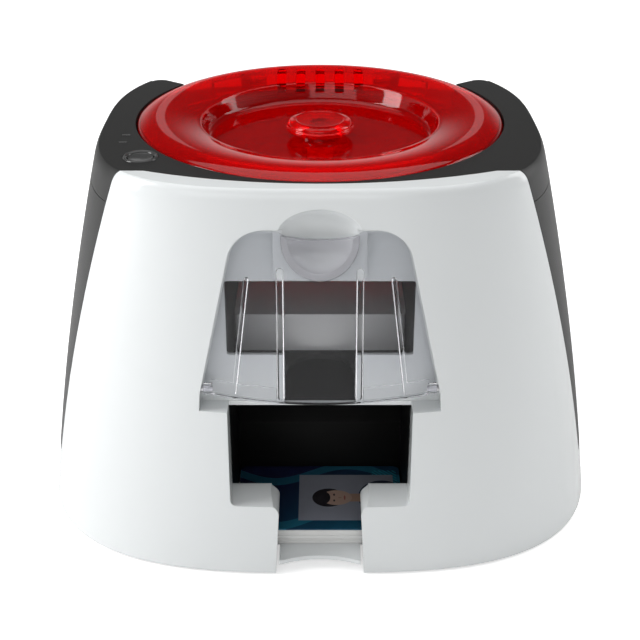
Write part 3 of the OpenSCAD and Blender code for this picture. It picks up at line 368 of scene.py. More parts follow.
TRAY_FRONT, TRAY_TOP, TRAY_ARCH, LINER_HALF = -122.8, 8.6, 3.8, 44.8
DOOR_FRONT, DOOR_CORNER, DOOR_GAP = -122.0, 16.0, 0.8
DOOR_PIN, LUG_IN, LUG_OUT = 1.65, 50.5, 54.5
SCOOP, SCOOP_DEPTH, SCOOP_FLAT = 19.0, 8.0, 0.64
SLOT_PITCH, SLOT_HALF = 10.8, 2.5
REACH = 300.0


class Outline:
    """The housing's plan outline at each height."""

    def __init__(self, sizes):
        self.half_width = sizes.width / MM / 2
        self.half_depth = sizes.depth / MM / 2
        self.height = sizes.height / MM
        self.wall = sizes.wall / MM
        self.foot = sizes.foot / MM
        self.skirt = sizes.skirt / MM
        self.squareness = sizes.squareness
        self.top_squareness = sizes.top_squareness
        self.rear_roundness = sizes.rear_roundness
        self.shoulder = self.height - SHOULDER

    def turn_in(self, z):
        """Share of the shoulder's turn that is done at a height."""
        if z <= self.shoulder:
            return 0.0
        rise = (z - self.shoulder) / (SHOULDER + 1)
        return 1 - (1 - rise ** SHOULDER_POWER) ** (1 / SHOULDER_POWER)

    def x_half(self, z):
        return self.half_width - SIDE_LEAN * z - SIDE_CURVE * z * z - SHOULDER_SIDE * self.turn_in(z)

    def y_half(self, z):
        return self.half_depth - FRONT_LEAN * z - FRONT_CURVE * z * z - SHOULDER_FRONT * self.turn_in(z)

    def corner(self, z, rear):
        """Power of the outline at a height."""
        change = -self.rear_roundness if rear else self.top_squareness
        return self.squareness + change * (max(z, 0.0) / self.height) ** 4

    def reach(self, x, z, rear):
        """Reach of the front or the rear at a height and a distance from the centre plane."""
        power = self.corner(z, rear)
        return self.y_half(z) * (1 - (abs(x) / self.x_half(z)) ** power) ** (1 / power)

    def ring(self, z, inset):
        """The outline's points at a height, drawn in by an inset."""
        ring = []
        for k in range(SEGMENTS):
            a = 2 * math.pi * k / SEGMENTS
            c, s = math.cos(a), math.sin(a)
            power = 2 / self.corner(z, s > 0)
            x = (self.x_half(z) - inset) * math.copysign(abs(c) ** power, c)
            y = (self.y_half(z) - inset) * math.copysign(abs(s) ** power, s)
            ring.append((x, y, z))
        return ring

    def loft(self, low, high, inset):
        """A solid of the housing's form between two heights."""
        levels = [low] + [z for z in self.steps() if low + 0.05 < z < high - 0.05] + [high]
        return ringed([self.ring(z, inset) for z in levels])

    def steps(self):
        """Heights of the loft's rings, close together on the shoulder."""
        coarse = [4.0 * k for k in range(int(self.shoulder / 4) + 1)]
        return coarse + [self.shoulder + 0.4 * k for k in range(int(SHOULDER / 0.4) + 1)]

    def skin(self, top):
        """The housing's wall up to a height, open above and below."""
        return cut(self.loft(self.foot, top, 0), self.loft(0, top + 1, self.wall))


def front_zone(outline, back=0.0):
    """The space of the white front shell, drawn back by a gap."""
    top = outline.height + 1
    seam = [(SEAM_LOW + back, -1), (SEAM_LOW + back, outline.skirt), (SEAM_TOP + back, top)]
    zone = across([(-REACH, -1), *seam, (-REACH, top)], -REACH, REACH)
    base = outline.height - lid_height() - LEDGE - back
    return cut(zone, post((0, COLLAR_FRONT + COLLAR_ARC), COLLAR_ARC - back, base, outline.height + 20, 720))


def collar_sector(gap, z0, z1):
    """The collar's part of the plan, with ends that run towards the centre."""
    end = (REACH * math.cos(COLLAR_END), REACH * math.sin(COLLAR_END))
    plan = [(0, 0), end, (REACH, -REACH), (-REACH, -REACH), (-end[0], end[1])]
    return upright([(x, y + gap) for x, y in plan], z0, z1)


def lid_height():
    """Height of the lid above its seat, in millimetres."""
    return settings().lid.height / MM


def door_edge(door, z):
    """Half width of the feeder door at a height."""
    bottom, top = door.bottom_width / MM / 2, door.top_width / MM / 2
    low, high = door.bottom / MM, door.top / MM - 10
    return bottom + (top - bottom) * (z - low) / (high - low)


def door_outline(door, grow, low):
    """Front view of the door, grown by an amount, with its corners tangent to the slanted sides."""
    bottom, top = door.bottom / MM, door.top / MM
    slant = math.atan((door.bottom_width - door.top_width) / MM / 2 / (top - 10 - bottom))
    corner_z = top - DOOR_CORNER
    corner_x = door_edge(door, corner_z) - DOOR_CORNER / math.cos(slant)
    half = [(door_edge(door, bottom) + grow, bottom)]
    if low < bottom:
        half.insert(0, (min(door_edge(door, low), door_edge(door, bottom) + 0.6) + grow, low))
    for k in range(33):
        a = slant + (math.pi / 2 - slant) * k / 32
        half.append((corner_x + (DOOR_CORNER + grow) * math.cos(a), corner_z + (DOOR_CORNER + grow) * math.sin(a)))
    return half + [(-x, z) for x, z in reversed(half)]


def door_axis(door):
    """Place of the door's pins in the side view."""
    return DOOR_FRONT + 12.5, door.bottom / MM + 1.5


def pocket_span(door):
    """Heights of the feeder pocket's bottom and top."""
    return door.bottom / MM - POCKET_DROP, door.top / MM + DOOR_GAP


def pocket_space(outline, door, shift):
    """The space in front of the feeder pocket's floor, drawn back by a shift."""
    low, top = pocket_span(door)
    foot, head = BAY_BACK + shift, BAY_BACK + POCKET_LEAN + shift
    side = [(-REACH, low - 20), (foot, low - 20), (foot, low), (head, top)]
    return across(side + [(head, outline.height), (-REACH, outline.height)], -150, 150)


def scoop_ball(outline, door, grow):
    """The ball that sinks the finger scoop into the shell."""
    top = door.top / MM
    radius = (SCOOP ** 2 + SCOOP_DEPTH ** 2) / (2 * SCOOP_DEPTH)
    return ball((0, SCOOP_DEPTH - radius - outline.reach(0, top, False), top - 0.9), radius + grow, SCOOP_FLAT)


def shell_backing(outline, door):
    """What the shell holds behind its wall: the pocket's floor, the bay's surround and the scoop's back."""
    low, top = pocket_span(door)
    inner, height = outline.wall / 2, outline.height

    def body():
        return outline.loft(outline.foot, height - 16, inner)

    floor = trim(body(), pocket_space(outline, door, 2))
    floor = trim(floor, through(door_outline(door, DOOR_GAP + 2, low - 2), -REACH, 0))
    surround = trim(body(), block(-BAY_HALF - 2, BAY_HALF + 2, -REACH, BAY_BACK, outline.foot, low + 0.5))
    back = trim(outline.loft(top - 20, height - 4, inner), scoop_ball(outline, door, 2))
    return floor, surround, trim(back, block(-REACH, REACH, -REACH, 0, top - 12, height - 3))


def feeder_cuts(outline, door):
    """Solids that open the pocket, the finger scoop and the window behind the feeder door."""
    low = pocket_span(door)[0]
    pocket = trim(through(door_outline(door, DOOR_GAP, low), -REACH, 0), pocket_space(outline, door, 0))
    view = rounded(oblong(-BAY_HALF, BAY_HALF, WINDOW_LOW, WINDOW_HIGH), [1.5] * 4)
    channel = block(-CHANNEL_HALF, CHANNEL_HALF, -REACH, WINDOW_BACK, low - 1, WINDOW_LOW + 1)
    window = join(through(view, -REACH, WINDOW_BACK), channel)
    window = trim(window, through(door_outline(door, 0, low - 1), -REACH, 0))
    return [pocket, scoop_ball(outline, door, 0), window]


def bay_cuts(outline, door):
    """Solids that open the output bay, its notch and the room round the cards."""
    top = pocket_span(door)[0]
    back, ledge = BAY_BACK + 20, SILL - SILL_DROP
    side = [
        (-REACH, ledge), (BAY_BACK - 16, ledge), (BAY_BACK - 2, SILL), (back, SILL),
        (back, top - 2.4), (BAY_BACK - 0.3, top - 2.4), (BAY_BACK - 0.3, top + 1), (-REACH, top + 1),
    ]
    front = rounded(oblong(-BAY_HALF, BAY_HALF, ledge - 0.02, top + 9), [3.5, 3.5, 0, 0])
    half, flare = NOTCH_HALF, NOTCH_HALF + 3
    notch = [
        (-half - 1, -1, 0), (half + 1, -1, 0), (half - 1, SILL - 4.6, NOTCH_CORNER), (flare, SILL - 0.8, 0),
        (flare, SILL + 3, 0), (-flare, SILL + 3, 0), (-flare, SILL - 0.8, 0), (1 - half, SILL - 4.6, NOTCH_CORNER),
    ]
    cards_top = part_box("printed_card_top")[1].z / MM
    cuts = [
        trim(through(front, -REACH, back), across(side, -BAY_HALF - 1, BAY_HALF + 1)),
        through(eased(notch), -REACH, back),
        block(-BAY_HALF, BAY_HALF, -112, BAY_BACK + 1, -1, cards_top + 6),
    ]
    return cuts + mirrored(lambda: block(half + 3.5, BAY_HALF, -118, BAY_BACK + 1, outline.foot - 1, SILL - 8))


def build_front_shell():
    """White front shell with the feeder pocket, scoop, window and output bay."""
    outline, door = Outline(settings().housing), settings().door
    roof = outline.loft(outline.height - outline.wall, outline.height, 0)
    shell = trim(join(outline.skin(outline.height), roof), front_zone(outline))
    shell = join(shell, *shell_backing(outline, door))
    bores = mirrored(lambda: rod(LUG_IN, LUG_OUT + 4, door_axis(door), DOOR_PIN, 24))
    shell = cut(shell, *feeder_cuts(outline, door), *bay_cuts(outline, door), *bores)
    rest = block(-21, 21, -140, BAY_BACK + 6, WINDOW_HIGH + 5, pocket_span(door)[1] + 0.4)
    rest = trim(rest, bent_plate(door, (door.bend - door.wall) / MM - 0.8))
    shell = join(shell, cut(rest, scoop_ball(outline, door, 0)))
    finish_piece(shell, "front_shell_smooth", "housing", WHITE_SLOT, ["front_shell"])


def build_base_tray():
    """White base tray with its skirt, floor and card tray."""
    outline = Outline(settings().housing)
    low, top = outline.foot + 1.5, outline.foot + 4
    skirt = cut(outline.skin(outline.skirt), front_zone(outline, SEAM_GAP))
    bay = block(-BAY_HALF - 2.5, BAY_HALF + 2.5, -250, BAY_BACK + SEAM_GAP, -1, top + 1)
    floor = cut(outline.loft(low, top, outline.wall + SEAM_GAP), bay)
    rim = cut(outline.loft(low, top, outline.wall / 2), front_zone(outline, SEAM_GAP))
    tongue = block(-NOTCH_HALF + 0.7, NOTCH_HALF - 0.7, TRAY_FRONT, BAY_BACK + 2, TRAY_TOP - 2.5, TRAY_TOP)
    bed = block(-LINER_HALF - 0.5, LINER_HALF + 0.5, BAY_BACK + SEAM_GAP, -51.5, low, TRAY_TOP)
    skirt = join(skirt, floor, rim, tongue, bed)
    half = NOTCH_HALF - 2
    arch = (half ** 2 + TRAY_ARCH ** 2) / (2 * TRAY_ARCH)
    skirt = cut(skirt, post((0, TRAY_FRONT + TRAY_ARCH - arch), arch, -1, TRAY_TOP + 2, 240))
    finish_piece(skirt, "base_tray_smooth", "housing", WHITE_SLOT, ["base_tray"])


def build_rear_housing():
    """Dark rear housing with its hinge deck, vents and port recess."""
    outline = Outline(settings().housing)
    seat = outline.height - lid_height()
    collar, skirt = seat - LEDGE, outline.skirt

    def sector():
        return collar_sector(SEAM_GAP, collar - SEAM_GAP, outline.height)

    zone = cut(block(-REACH, REACH, -REACH, REACH, skirt + SEAM_GAP, seat), front_zone(outline, SEAM_GAP), sector())
    shell = trim(outline.skin(seat + 2), zone)
    level = cut(block(-REACH, REACH, 0, REACH, collar, seat), sector())
    deck = trim(outline.loft(collar - 6, seat + 2, outline.wall / 2), level)
    recess = outline.loft(outline.foot, outline.shoulder - 4, outline.wall / 2)
    left, right = RECESS
    low, high = skirt + RECESS_LOW, skirt + RECESS_HIGH
    recess = trim(recess, block(left - 2, right + 2, RECESS_FLOOR - 2.5, REACH, low - 2, high + 2))
    shell = join(shell, deck, recess)
    cuts = [post((0, 0), LEDGE_RADIUS, 0, outline.height + 5, ROUND)]
    cuts.append(block(left, right, RECESS_FLOOR, REACH, low, high))
    cuts += [block(x0, x1, 90, REACH, PORT_LOW, PORT_HIGH) for x0, x1 in PORTS]
    for k in range(VENTS):
        x = VENT_X + VENT_PITCH * k
        cuts.append(block(x, x + VENT_WIDE, 60, 140, VENT_LOW, VENT_HIGH))
    shell = cut(shell, *cuts)
    for x in (-EAR_X - EAR_WIDE, EAR_X):
        root = block(x, x + EAR_WIDE, HINGE[0] - EAR, HINGE[0] + EAR, seat - 1, HINGE[1])
        ear = join(rod(x, x + EAR_WIDE, HINGE, EAR), root)
        shell = join(shell, cut(ear, rod(x - 1, x + EAR_WIDE + 1, HINGE, 2.02)))
    finish_piece(shell, "rear_housing_smooth", "housing", DARK_SLOT, ["rear_housing"])


def arm_corner(outline, low, high):
    """What a round corner takes off the outer end of the collar's arm."""
    c, s = math.cos(COLLAR_END), math.sin(COLLAR_END)
    reach = 0.0
    while reach * c < outline.x_half(high) and reach * s < outline.reach(reach * c, high, True):
        reach += 0.1
    along, inward = Vector((c, s)), Vector((s, -c))
    centre = along * reach - along * (ARM_ROUND + 1.2) + inward * ARM_ROUND
    edge = [centre, centre + along * 20, centre + along * 20 - inward * 20, centre - inward * 20]
    keep = post(tuple(centre), ARM_ROUND, low - 2, high + 2)
    return cut(upright([tuple(point) for point in edge], low - 1, high + 1), keep)


def build_top_collar():
    """Dark horseshoe collar round the lid."""
    outline, door = Outline(settings().housing), settings().door
    height, wall = outline.height, outline.wall
    seat = height - lid_height()
    collar, flange = seat - LEDGE, height - wall - SEAM_GAP
    bore = settings().lid.radius / MM + LID_GAP
    inner = outline.loft(outline.foot, flange, wall + SEAM_GAP)
    outer = cut(outline.loft(outline.foot, height, 0), front_zone(outline, SEAM_GAP))
    ring = trim(join(inner, outer), collar_sector(0, collar, height + 1))
    ring = cut(ring, post((0, 0), bore, seat, height + 20, ROUND), post((0, 0), LEDGE_RADIUS, 0, height + 5, ROUND))
    hollow = outline.loft(collar, flange - wall, 2 * wall + SEAM_GAP)
    hollow = cut(hollow, post((0, 0), bore + wall, 0, height + 5, ROUND))
    hollow = cut(hollow, block(-REACH, REACH, -REACH, REACH, -1, collar + wall))
    ring = cut(ring, hollow, post(BUTTON, BUTTON_HOLE, 0, height + 5))
    ring = cut(ring, *(block(LENS_X - 2, LENS_X + 2, y - 0.8, y + 0.8, collar - 1, height + 2) for y in LENSES))
    ring = cut(ring, scoop_ball(outline, door, 2 + SEAM_GAP), *mirrored(lambda: arm_corner(outline, collar, height)))
    finish_piece(ring, "top_collar_smooth", "housing", DARK_SLOT, ["top_collar"])


# Lid and knob


def crown_height(lid, top, radius):
    """Height of the lid's crowned rim at a radius."""
    crest = lid.radius / MM - 10
    return top + lid.crown / MM - (radius - crest) ** 2 / (32 if radius > crest else 126)


def lid_profile(lid, top):
    """Section of the lid from its outer edge over the crowned rim into the bowl and back below."""
    radius, wall, bowl = lid.radius / MM, lid.wall / MM, lid.bowl_radius / MM
    seat, floor = top - lid_height(), top - lid.bowl_depth / MM

    def crowned(start, end, steps, drop):
        radii = [start + (end - start) * k / steps for k in range(steps + 1)]
        return [(r, crown_height(lid, top, r) - drop, 0) for r in radii]

    section = [(radius - wall, seat + 0.3, 0.3), (radius, seat + 0.3, 0.3), (radius, top - 0.9, 0.9)]
    section += crowned(radius - 0.9, bowl + 2.0, 64, 0)
    section += [(bowl + 0.3, top - 1.0, 1.0), (bowl - 0.4, top - 3.0, 2.0), (bowl - 2.2, floor + 1.4, 2.0)]
    section += [(bowl - 4.6, floor, 1.6), (0, floor, 0), (0, floor - wall, 0)]
    section += [(bowl - 3, floor - wall, 1.0), (bowl - 0.5, floor - wall + 1.6, 1.5)]
    section += crowned(bowl + 2, radius - wall, 32, wall)
    return eased(section)


def build_lid():
    """Transparent red lid with its bowl, slots, ribbed guide and hinge knuckles."""
    lid, outline = settings().lid, Outline(settings().housing)
    radius, wall, bowl = lid.radius / MM, lid.wall / MM, lid.bowl_radius / MM
    top = outline.height
    seat, floor = top - lid_height(), top - lid.bowl_depth / MM
    shell = turned(lid_profile(lid, top), ROUND)
    guide_low, guide_top = floor - wall - 2.6, floor + 1.5
    guide = post((0, 0), 9, guide_low, guide_top)
    for k in range(4):
        turn = Matrix.Rotation(math.radians(45 * k), 2)
        bar = [turn @ Vector(corner) for corner in oblong(-10, 10, -1.2, 1.2)]
        guide = join(guide, upright(bar, guide_low, guide_top))
    shell = join(shell, guide)
    lip = oblong(radius - 1, radius + 3.8, seat + 1.5, seat + 9.5)
    lip = turned(rounded(lip, [0, 0.4, 1.2, 0]), ROUND)
    shell = join(shell, trim(lip, block(-62.6, 62.6, bowl, 140, 0, top)))
    slide, clip, hook, outer = floor - wall - 3, 6.9, 4.9, 8.9
    clips = []
    for y in (10.5 - bowl, -24):
        clips += mirrored(lambda: block(clip, outer, y - 4, y + 4, slide - 4.8, floor - wall + 0.5))
        clips += mirrored(lambda: block(hook, outer, y - 4, y + 4, slide - 4.8, slide - 3.3))
    near, far = EAR_X - 9.4, EAR_X - 0.4
    clips += mirrored(lambda: rod(near, far, HINGE, EAR))
    clips += mirrored(lambda: block(near, far, radius - 12, HINGE[0], HINGE[1] - 1.5, HINGE[1] + EAR))
    shell = join(shell, *clips)
    bores = mirrored(lambda: rod(near - 1, far + 1, HINGE, 2.05))
    shell = cut(shell, post((0, 0), 5.3, 0, top), post((0, 0), 8, guide_low + 1.4, top), *bores)
    back, base = radius - 19, floor + 4.8
    for k in range(-2, 3):
        x = SLOT_PITCH * k
        slot = block(x - SLOT_HALF, x + SLOT_HALF, bowl - 4, back, base, top + 4)
        shell = cut(shell, slot, post((x, back), SLOT_HALF - 0.01, base, floor + 24, 48))
    finish_piece(shell, "lid_smooth", "lid", RED_SLOT, ["lid"], 30)


def build_knob():
    """Red release knob with a rolled rim, a flat top and its wedge stem."""
    lid, outline = settings().lid, Outline(settings().housing)
    top, radius = outline.height, lid.knob_radius / MM
    floor = top - lid.bowl_depth / MM
    low, hollow, wedge = top - 7.6, floor + 4.8, floor - lid.wall / MM
    profile = [
        (0, low, 0), (radius - 1, low, 0.6), (radius, low + 1.1, 0.8), (radius, low + 2.4, 0.5),
        (radius - 0.7, low + 2.9, 0.5), (radius - 0.9, low + 4.1, 0.8), (radius - 1.9, low + 5.2, 1.0),
        (radius - 4.9, low + 5.8, 0.5), (radius - 5.5, low + 5.5, 0.5), (0, low + 5.5, 0),
    ]
    cap = turned(eased(profile, 5), 192)
    cap = cut(cap, post((0, 0), 10.6, low - 1, hollow))
    cap = join(cap, post((0, 0), 5, wedge, hollow + 0.5))
    blade = [(-4, wedge + 0.5), (4, wedge + 0.5), (4, wedge), (-3, wedge - 7), (-4, wedge - 7)]
    cap = join(cap, across(blade, -3, 3))
    finish_piece(cap, "release_knob_smooth", "knob", RED_SLOT, ["release_knob"], 35)


# Feeder door


def leaning(door):
    """What turns a point of the upright door into one of the leaning door."""
    lean = Matrix.Rotation(-door.lean, 4, "X")
    base = Vector((0, DOOR_FRONT, door.bottom / MM))
    return lambda x, y, z: tuple(base + lean @ Vector((x, y, z)))


def bent_plate(door, radius, low=-40.0, high=200.0, steps=1440):
    """The leaning cylinder that the door is bent to."""
    place = leaning(door)
    plan = circle((0, door.bend / MM), radius, steps)
    return ringed([[place(x, y, z) for x, y in plan] for z in (low, high)])


def door_rib(door, foot_x, head_x, low, high, half):
    """A bar with soft sides on the inner face of the door, rounded at both ends."""
    place, bend = leaning(door), door.bend / MM
    inner = (door.bend - door.wall) / MM
    section = [(-half, -0.3, 0), (half, -0.3, 0), (half, 0.15, 0.3)]
    section += [(half - 0.75, 1.2, 0.4), (0.75 - half, 1.2, 0.4), (-half, 0.15, 0.3)]
    section = eased(section, 4)
    rings, levels = [], 60
    for k in range(levels + 1):
        z = low + (high - low) * (1 - math.cos(math.pi * k / levels)) / 2
        near = min(z - low, high - z)
        swell = math.sqrt(max(0.02, 1 - max(0.0, 1 - near / half) ** 2))
        turn = math.asin((foot_x + (head_x - foot_x) * (z - low) / (high - low)) / inner)
        ring = []
        for u, v in section:
            a = turn + u * swell / inner
            depth = inner - v * (swell if v > 0 else 1)
            ring.append(place(depth * math.sin(a), bend - depth * math.cos(a), z))
        rings.append(ring)
    return ringed(rings)


def door_steps(door, depth):
    """Steps along the door's bottom edge, left and right, on its inner face."""
    low, inner = door.bottom / MM, (door.bend - door.wall) / MM
    foot = door_edge(door, low) - 4
    steps = []
    for side in (-1, 1):
        view = rounded(oblong(side * 20, side * foot, low + 0.4, low + 6.5), [0, 0, 1.5, 0])
        band = trim(through(view, -REACH, BAY_BACK + POCKET_LEAN), bent_plate(door, inner + 0.2))
        steps.append(cut(band, bent_plate(door, inner - depth, -50)))
    return steps


def build_door():
    """Smoke-clear feeder door with its ribs, finger dent and hinge lugs."""
    door = settings().door
    bend, wall = door.bend / MM, door.wall / MM
    low, top = door.bottom / MM, door.top / MM
    deep, dent_half = 5.0, 15.0
    dip = (SCOOP ** 2 + deep ** 2) / (2 * deep)

    def face():
        return through(door_outline(door, 0, low), -REACH, BAY_BACK + POCKET_LEAN)

    def edge():
        return through(circle((0, top - deep + dip), dip, ROUND), -REACH, 0)

    inside = cut(block(-100, 100, -REACH, 100, 0, REACH), bent_plate(door, bend - wall, -50))
    plate = trim(trim(bent_plate(door, bend), face()), inside)
    radius = (dent_half ** 2 + deep ** 2) / (2 * deep)
    dent_z = top + 0.5
    dent_at = (0, deep - radius + DOOR_FRONT + (dent_z - low) * math.tan(door.lean), dent_z)
    plate = cut(plate, ball(dent_at, radius + wall + 0.02))
    dent = trim(cut(ball(dent_at, radius + wall), ball(dent_at, radius)), face())
    dent = cut(trim(dent, bent_plate(door, bend - 0.05)), edge())
    plate = join(plate, *door_steps(door, 0.5))
    rib_top = top - low - 15
    ribs = ((18, 18, 1.2, rib_top, 1.7), (40, 33, 2.0, rib_top - 5, 1.2))
    for foot_x, head_x, rib_low, rib_high, half in ribs:
        for side in (-1, 1):
            plate = join(plate, door_rib(door, foot_x * side, head_x * side, rib_low, rib_high, half))
    y, z = axis = door_axis(door)
    lugs = mirrored(lambda: rod(LUG_IN, LUG_OUT, axis, 3))
    lugs += mirrored(lambda: block(LUG_IN, LUG_OUT, y - 3.6, y, z - 1.2, z + 2.5))
    bores = mirrored(lambda: rod(LUG_IN - 3, LUG_OUT + 0.1, axis, DOOR_PIN))
    sides = mirrored(lambda: block(LUG_OUT, LUG_OUT + 2.5, -REACH, 0, low - 1, z + 3))
    plate = cut(join(plate, *lugs), edge(), *bores, *sides)
    finish_piece(plate, "feeder_door_smooth", "door", SMOKE_SLOT, ["feeder_door"], 18)
    finish_piece(dent, "door_dent_smooth", "door", SMOKE_SLOT, (), 18, "dent_frost")


# Power button


def build_button():
    """Glossy bezel with a rolled rim and the dished power button inside it."""
    top = settings().housing.height / MM
    hole = BUTTON_HOLE - 0.05
    inner = BUTTON_RADIUS + 0.35
    bezel = [
        (inner, top - 2.4, 0), (hole, top - 2.4, 0), (hole, top - 0.2, 0.3), (hole - 0.5, top + 0.45, 0.4),
        (hole - 1.1, top + 0.58, 0.5), (6.7, top + 0.1, 0.3), (inner, top - 0.4, 0.2),
    ]
    ring = turned(eased(bezel), 160, BUTTON)
    finish_piece(ring, "button_ring_smooth", "housing", DARK_SLOT, ["button_ring"], finish="bezel_gloss")
    dish = [(BUTTON_RADIUS * k / 10, top - 0.75 + 0.55 * (k / 10) ** 2, 0) for k in range(10)]
    stem = [
        (BUTTON_RADIUS - 0.25, top - 0.12, 0.2), (BUTTON_RADIUS, top - 0.4, 0.2), (BUTTON_RADIUS, top - 3, 0.3),
        (1.6, top - 3, 0), (1.6, top - 7, 0.2), (0, top - 7, 0),
    ]
    button = turned(eased(dish + stem), 160, BUTTON)
    finish_piece(button, "power_button_smooth", "button", DARK_SLOT, ["power_button"], finish="bezel_gloss")


# Printed card


def build_printed_card():
    """Topmost printed card, a thin plate with round corners and eased edges."""
    low, high = (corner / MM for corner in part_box("printed_card_top"))
    corners = oblong(low.x, high.x, low.y, high.y)
    ease = 0.08

    def plan(inset):
        square = [(x - math.copysign(inset, x), y - (inset if y > low.y + 1 else -inset)) for x, y in corners]
        return rounded(square, [3.4] * 4, 10)

    levels = [(low.z, ease), (low.z + ease, 0), (high.z - ease, 0), (high.z, ease)]
    card = ringed([[(x, y, z) for x, y in plan(inset)] for z, inset in levels])
    finish_piece(card, "printed_card_top_smooth", "housing", "card_print", ["printed_card_top"])


# Finishes


class Value:
    """A shader socket that takes part in Python arithmetic by adding Math nodes."""

    def __init__(self, tree, socket):
        self.tree = tree
        self.socket = socket

    def _maths(self, operation, *terms):
        node = self.tree.nodes.new("ShaderNodeMath")
        node.operation = operation
        for slot, term in zip(node.inputs, terms):
            feed(slot, term)
        return Value(self.tree, node.outputs[0])

    def __add__(self, other):
        return self._maths("ADD", self, other)

    def __radd__(self, other):
        return self._maths("ADD", other, self)

    def __sub__(self, other):
        return self._maths("SUBTRACT", self, other)

    def __rsub__(self, other):
        return self._maths("SUBTRACT", other, self)

    def __mul__(self, other):
        return self._maths("MULTIPLY", self, other)

    def __rmul__(self, other):
        return self._maths("MULTIPLY", other, self)

    def __truediv__(self, other):
        return self._maths("DIVIDE", self, other)

    def __rtruediv__(self, other):
        return self._maths("DIVIDE", other, self)

    def __lt__(self, other):
        return self._maths("LESS_THAN", self, other)

    def __gt__(self, other):
        return self._maths("GREATER_THAN", self, other)

    def wave(self):
        """The sine of the value."""
        return self._maths("SINE", self)


def feed(socket, value):
    """Sets a socket to a number or a colour, or links a value to it."""
    if isinstance(value, Value):
        value.tree.links.new(value.socket, socket)
    else:
        socket.default_value = value


class Shading:
    """A node tree whose nodes are all added by one method."""

    def __init__(self, tree):
        self.tree = tree
        tree.nodes.clear()

    def node(self, kind, options=None, sockets=None, output=0):
        """Adds any node: its settings first, then its sockets' values or links."""
        node = self.tree.nodes.new(kind)
        for key, value in (options or {}).items():
            setattr(node, key, value)
        for key, value in (sockets or {}).items():
            feed(node.inputs[key], value)
        return Value(self.tree, node.outputs[output]) if node.outputs else None

    def seen(self):
        """One for what the camera sees, also through clear plastic, and else zero."""
        rays = [self.node("ShaderNodeLightPath", output=f"Is {kind} Ray") for kind in ("Camera", "Transmission")]
        return rays[0] + rays[1] > 0.5


class Finish(Shading):
    """A procedural material built round one Principled shader."""

    def __init__(self, name):
        self.material = bpy.data.materials.new(f"{name}_finish")
        self.material.use_nodes = True
        super().__init__(self.material.node_tree)
        shader = self.node("ShaderNodeBsdfPrincipled")
        self.node("ShaderNodeOutputMaterial", {}, {0: shader})
        self.shader = shader.socket.node
        self.place = self.node("ShaderNodeTexCoord", output="Object")

    def noise(self, scale, detail=3.0, roughness=0.55):
        """Fractal noise over the object, in cycles per metre."""
        sockets = {"Vector": self.place, "Scale": scale, "Detail": detail, "Roughness": roughness}
        return self.node("ShaderNodeTexNoise", {}, sockets)

    def mix(self, mask, one, two):
        """A colour between two colours."""
        tone = [shade if isinstance(shade, Value) else (*shade, 1.0) for shade in (one, two)]
        return self.node("ShaderNodeMix", {"data_type": "RGBA"}, {0: mask, 6: tone[0], 7: tone[1]}, 2)

    def parts(self):
        """The object coordinates as three values."""
        return [self.node("ShaderNodeSeparateXYZ", {}, {0: self.place}, axis) for axis in "XYZ"]

    def bump(self, height, strength, depth, edge=0.0):
        """A Bump node on the shader's Normal, over edges eased by a radius."""
        sockets = {"Height": height, "Strength": strength, "Distance": depth}
        if edge:
            sockets["Normal"] = self.node("ShaderNodeBevel", {"samples": 4}, {"Radius": edge})
        feed(self.shader.inputs["Normal"], self.node("ShaderNodeBump", {}, sockets))

    def set(self, **values):
        """Constants and links on the shader's own sockets."""
        for key, value in values.items():
            feed(self.shader.inputs[key.replace("_", " ").title().replace("Ior", "IOR")], value)


def finish_of(slot):
    """The finish made for a material slot."""
    return bpy.data.materials[f"{slot}_finish"]


def shade(tone, factor):
    """A colour made lighter or darker."""
    return tuple(min(1.0, c * factor) for c in tone[:3])


def moulded(name, tone, rough, grain, depth, spread=0.04, edge=0.0004, **constants):
    """Moulded plastic: slight flow marks in colour and gloss over a fine surface grain."""
    made = Finish(name)
    flow = made.noise(14.0, 4.0)
    fine = made.noise(grain, 2.0, 0.6)
    made.set(Base_Color=made.mix(flow, shade(tone, 1 - spread), shade(tone, 1 + spread)))
    made.set(Roughness=rough + 0.08 * (flow - 0.5) + 0.05 * (fine - 0.5))
    made.bump(fine, 1.0, depth, edge)
    made.set(**constants)


def metal(name, tone, rough, along, depth=0.00002, **constants):
    """Metal with drawn or turned lines along one direction."""
    made = Finish(name)
    stretch = [(4.0, 900.0, 900.0), (900.0, 4.0, 900.0), (900.0, 900.0, 4.0)][along]
    lines_at = made.node("ShaderNodeMapping", {}, {"Vector": made.place, "Scale": stretch})
    lines = made.node("ShaderNodeTexNoise", {}, {"Vector": lines_at, "Scale": 1.0, "Detail": 3.0})
    stain = made.noise(40.0, 3.0)
    made.set(Base_Color=made.mix(stain, shade(tone, 0.88), shade(tone, 1.05)), Metallic=1.0)
    made.set(Roughness=rough + 0.14 * (lines - 0.5) + 0.08 * (stain - 0.5))
    made.bump(lines, 1.0, depth)
    made.set(**constants)


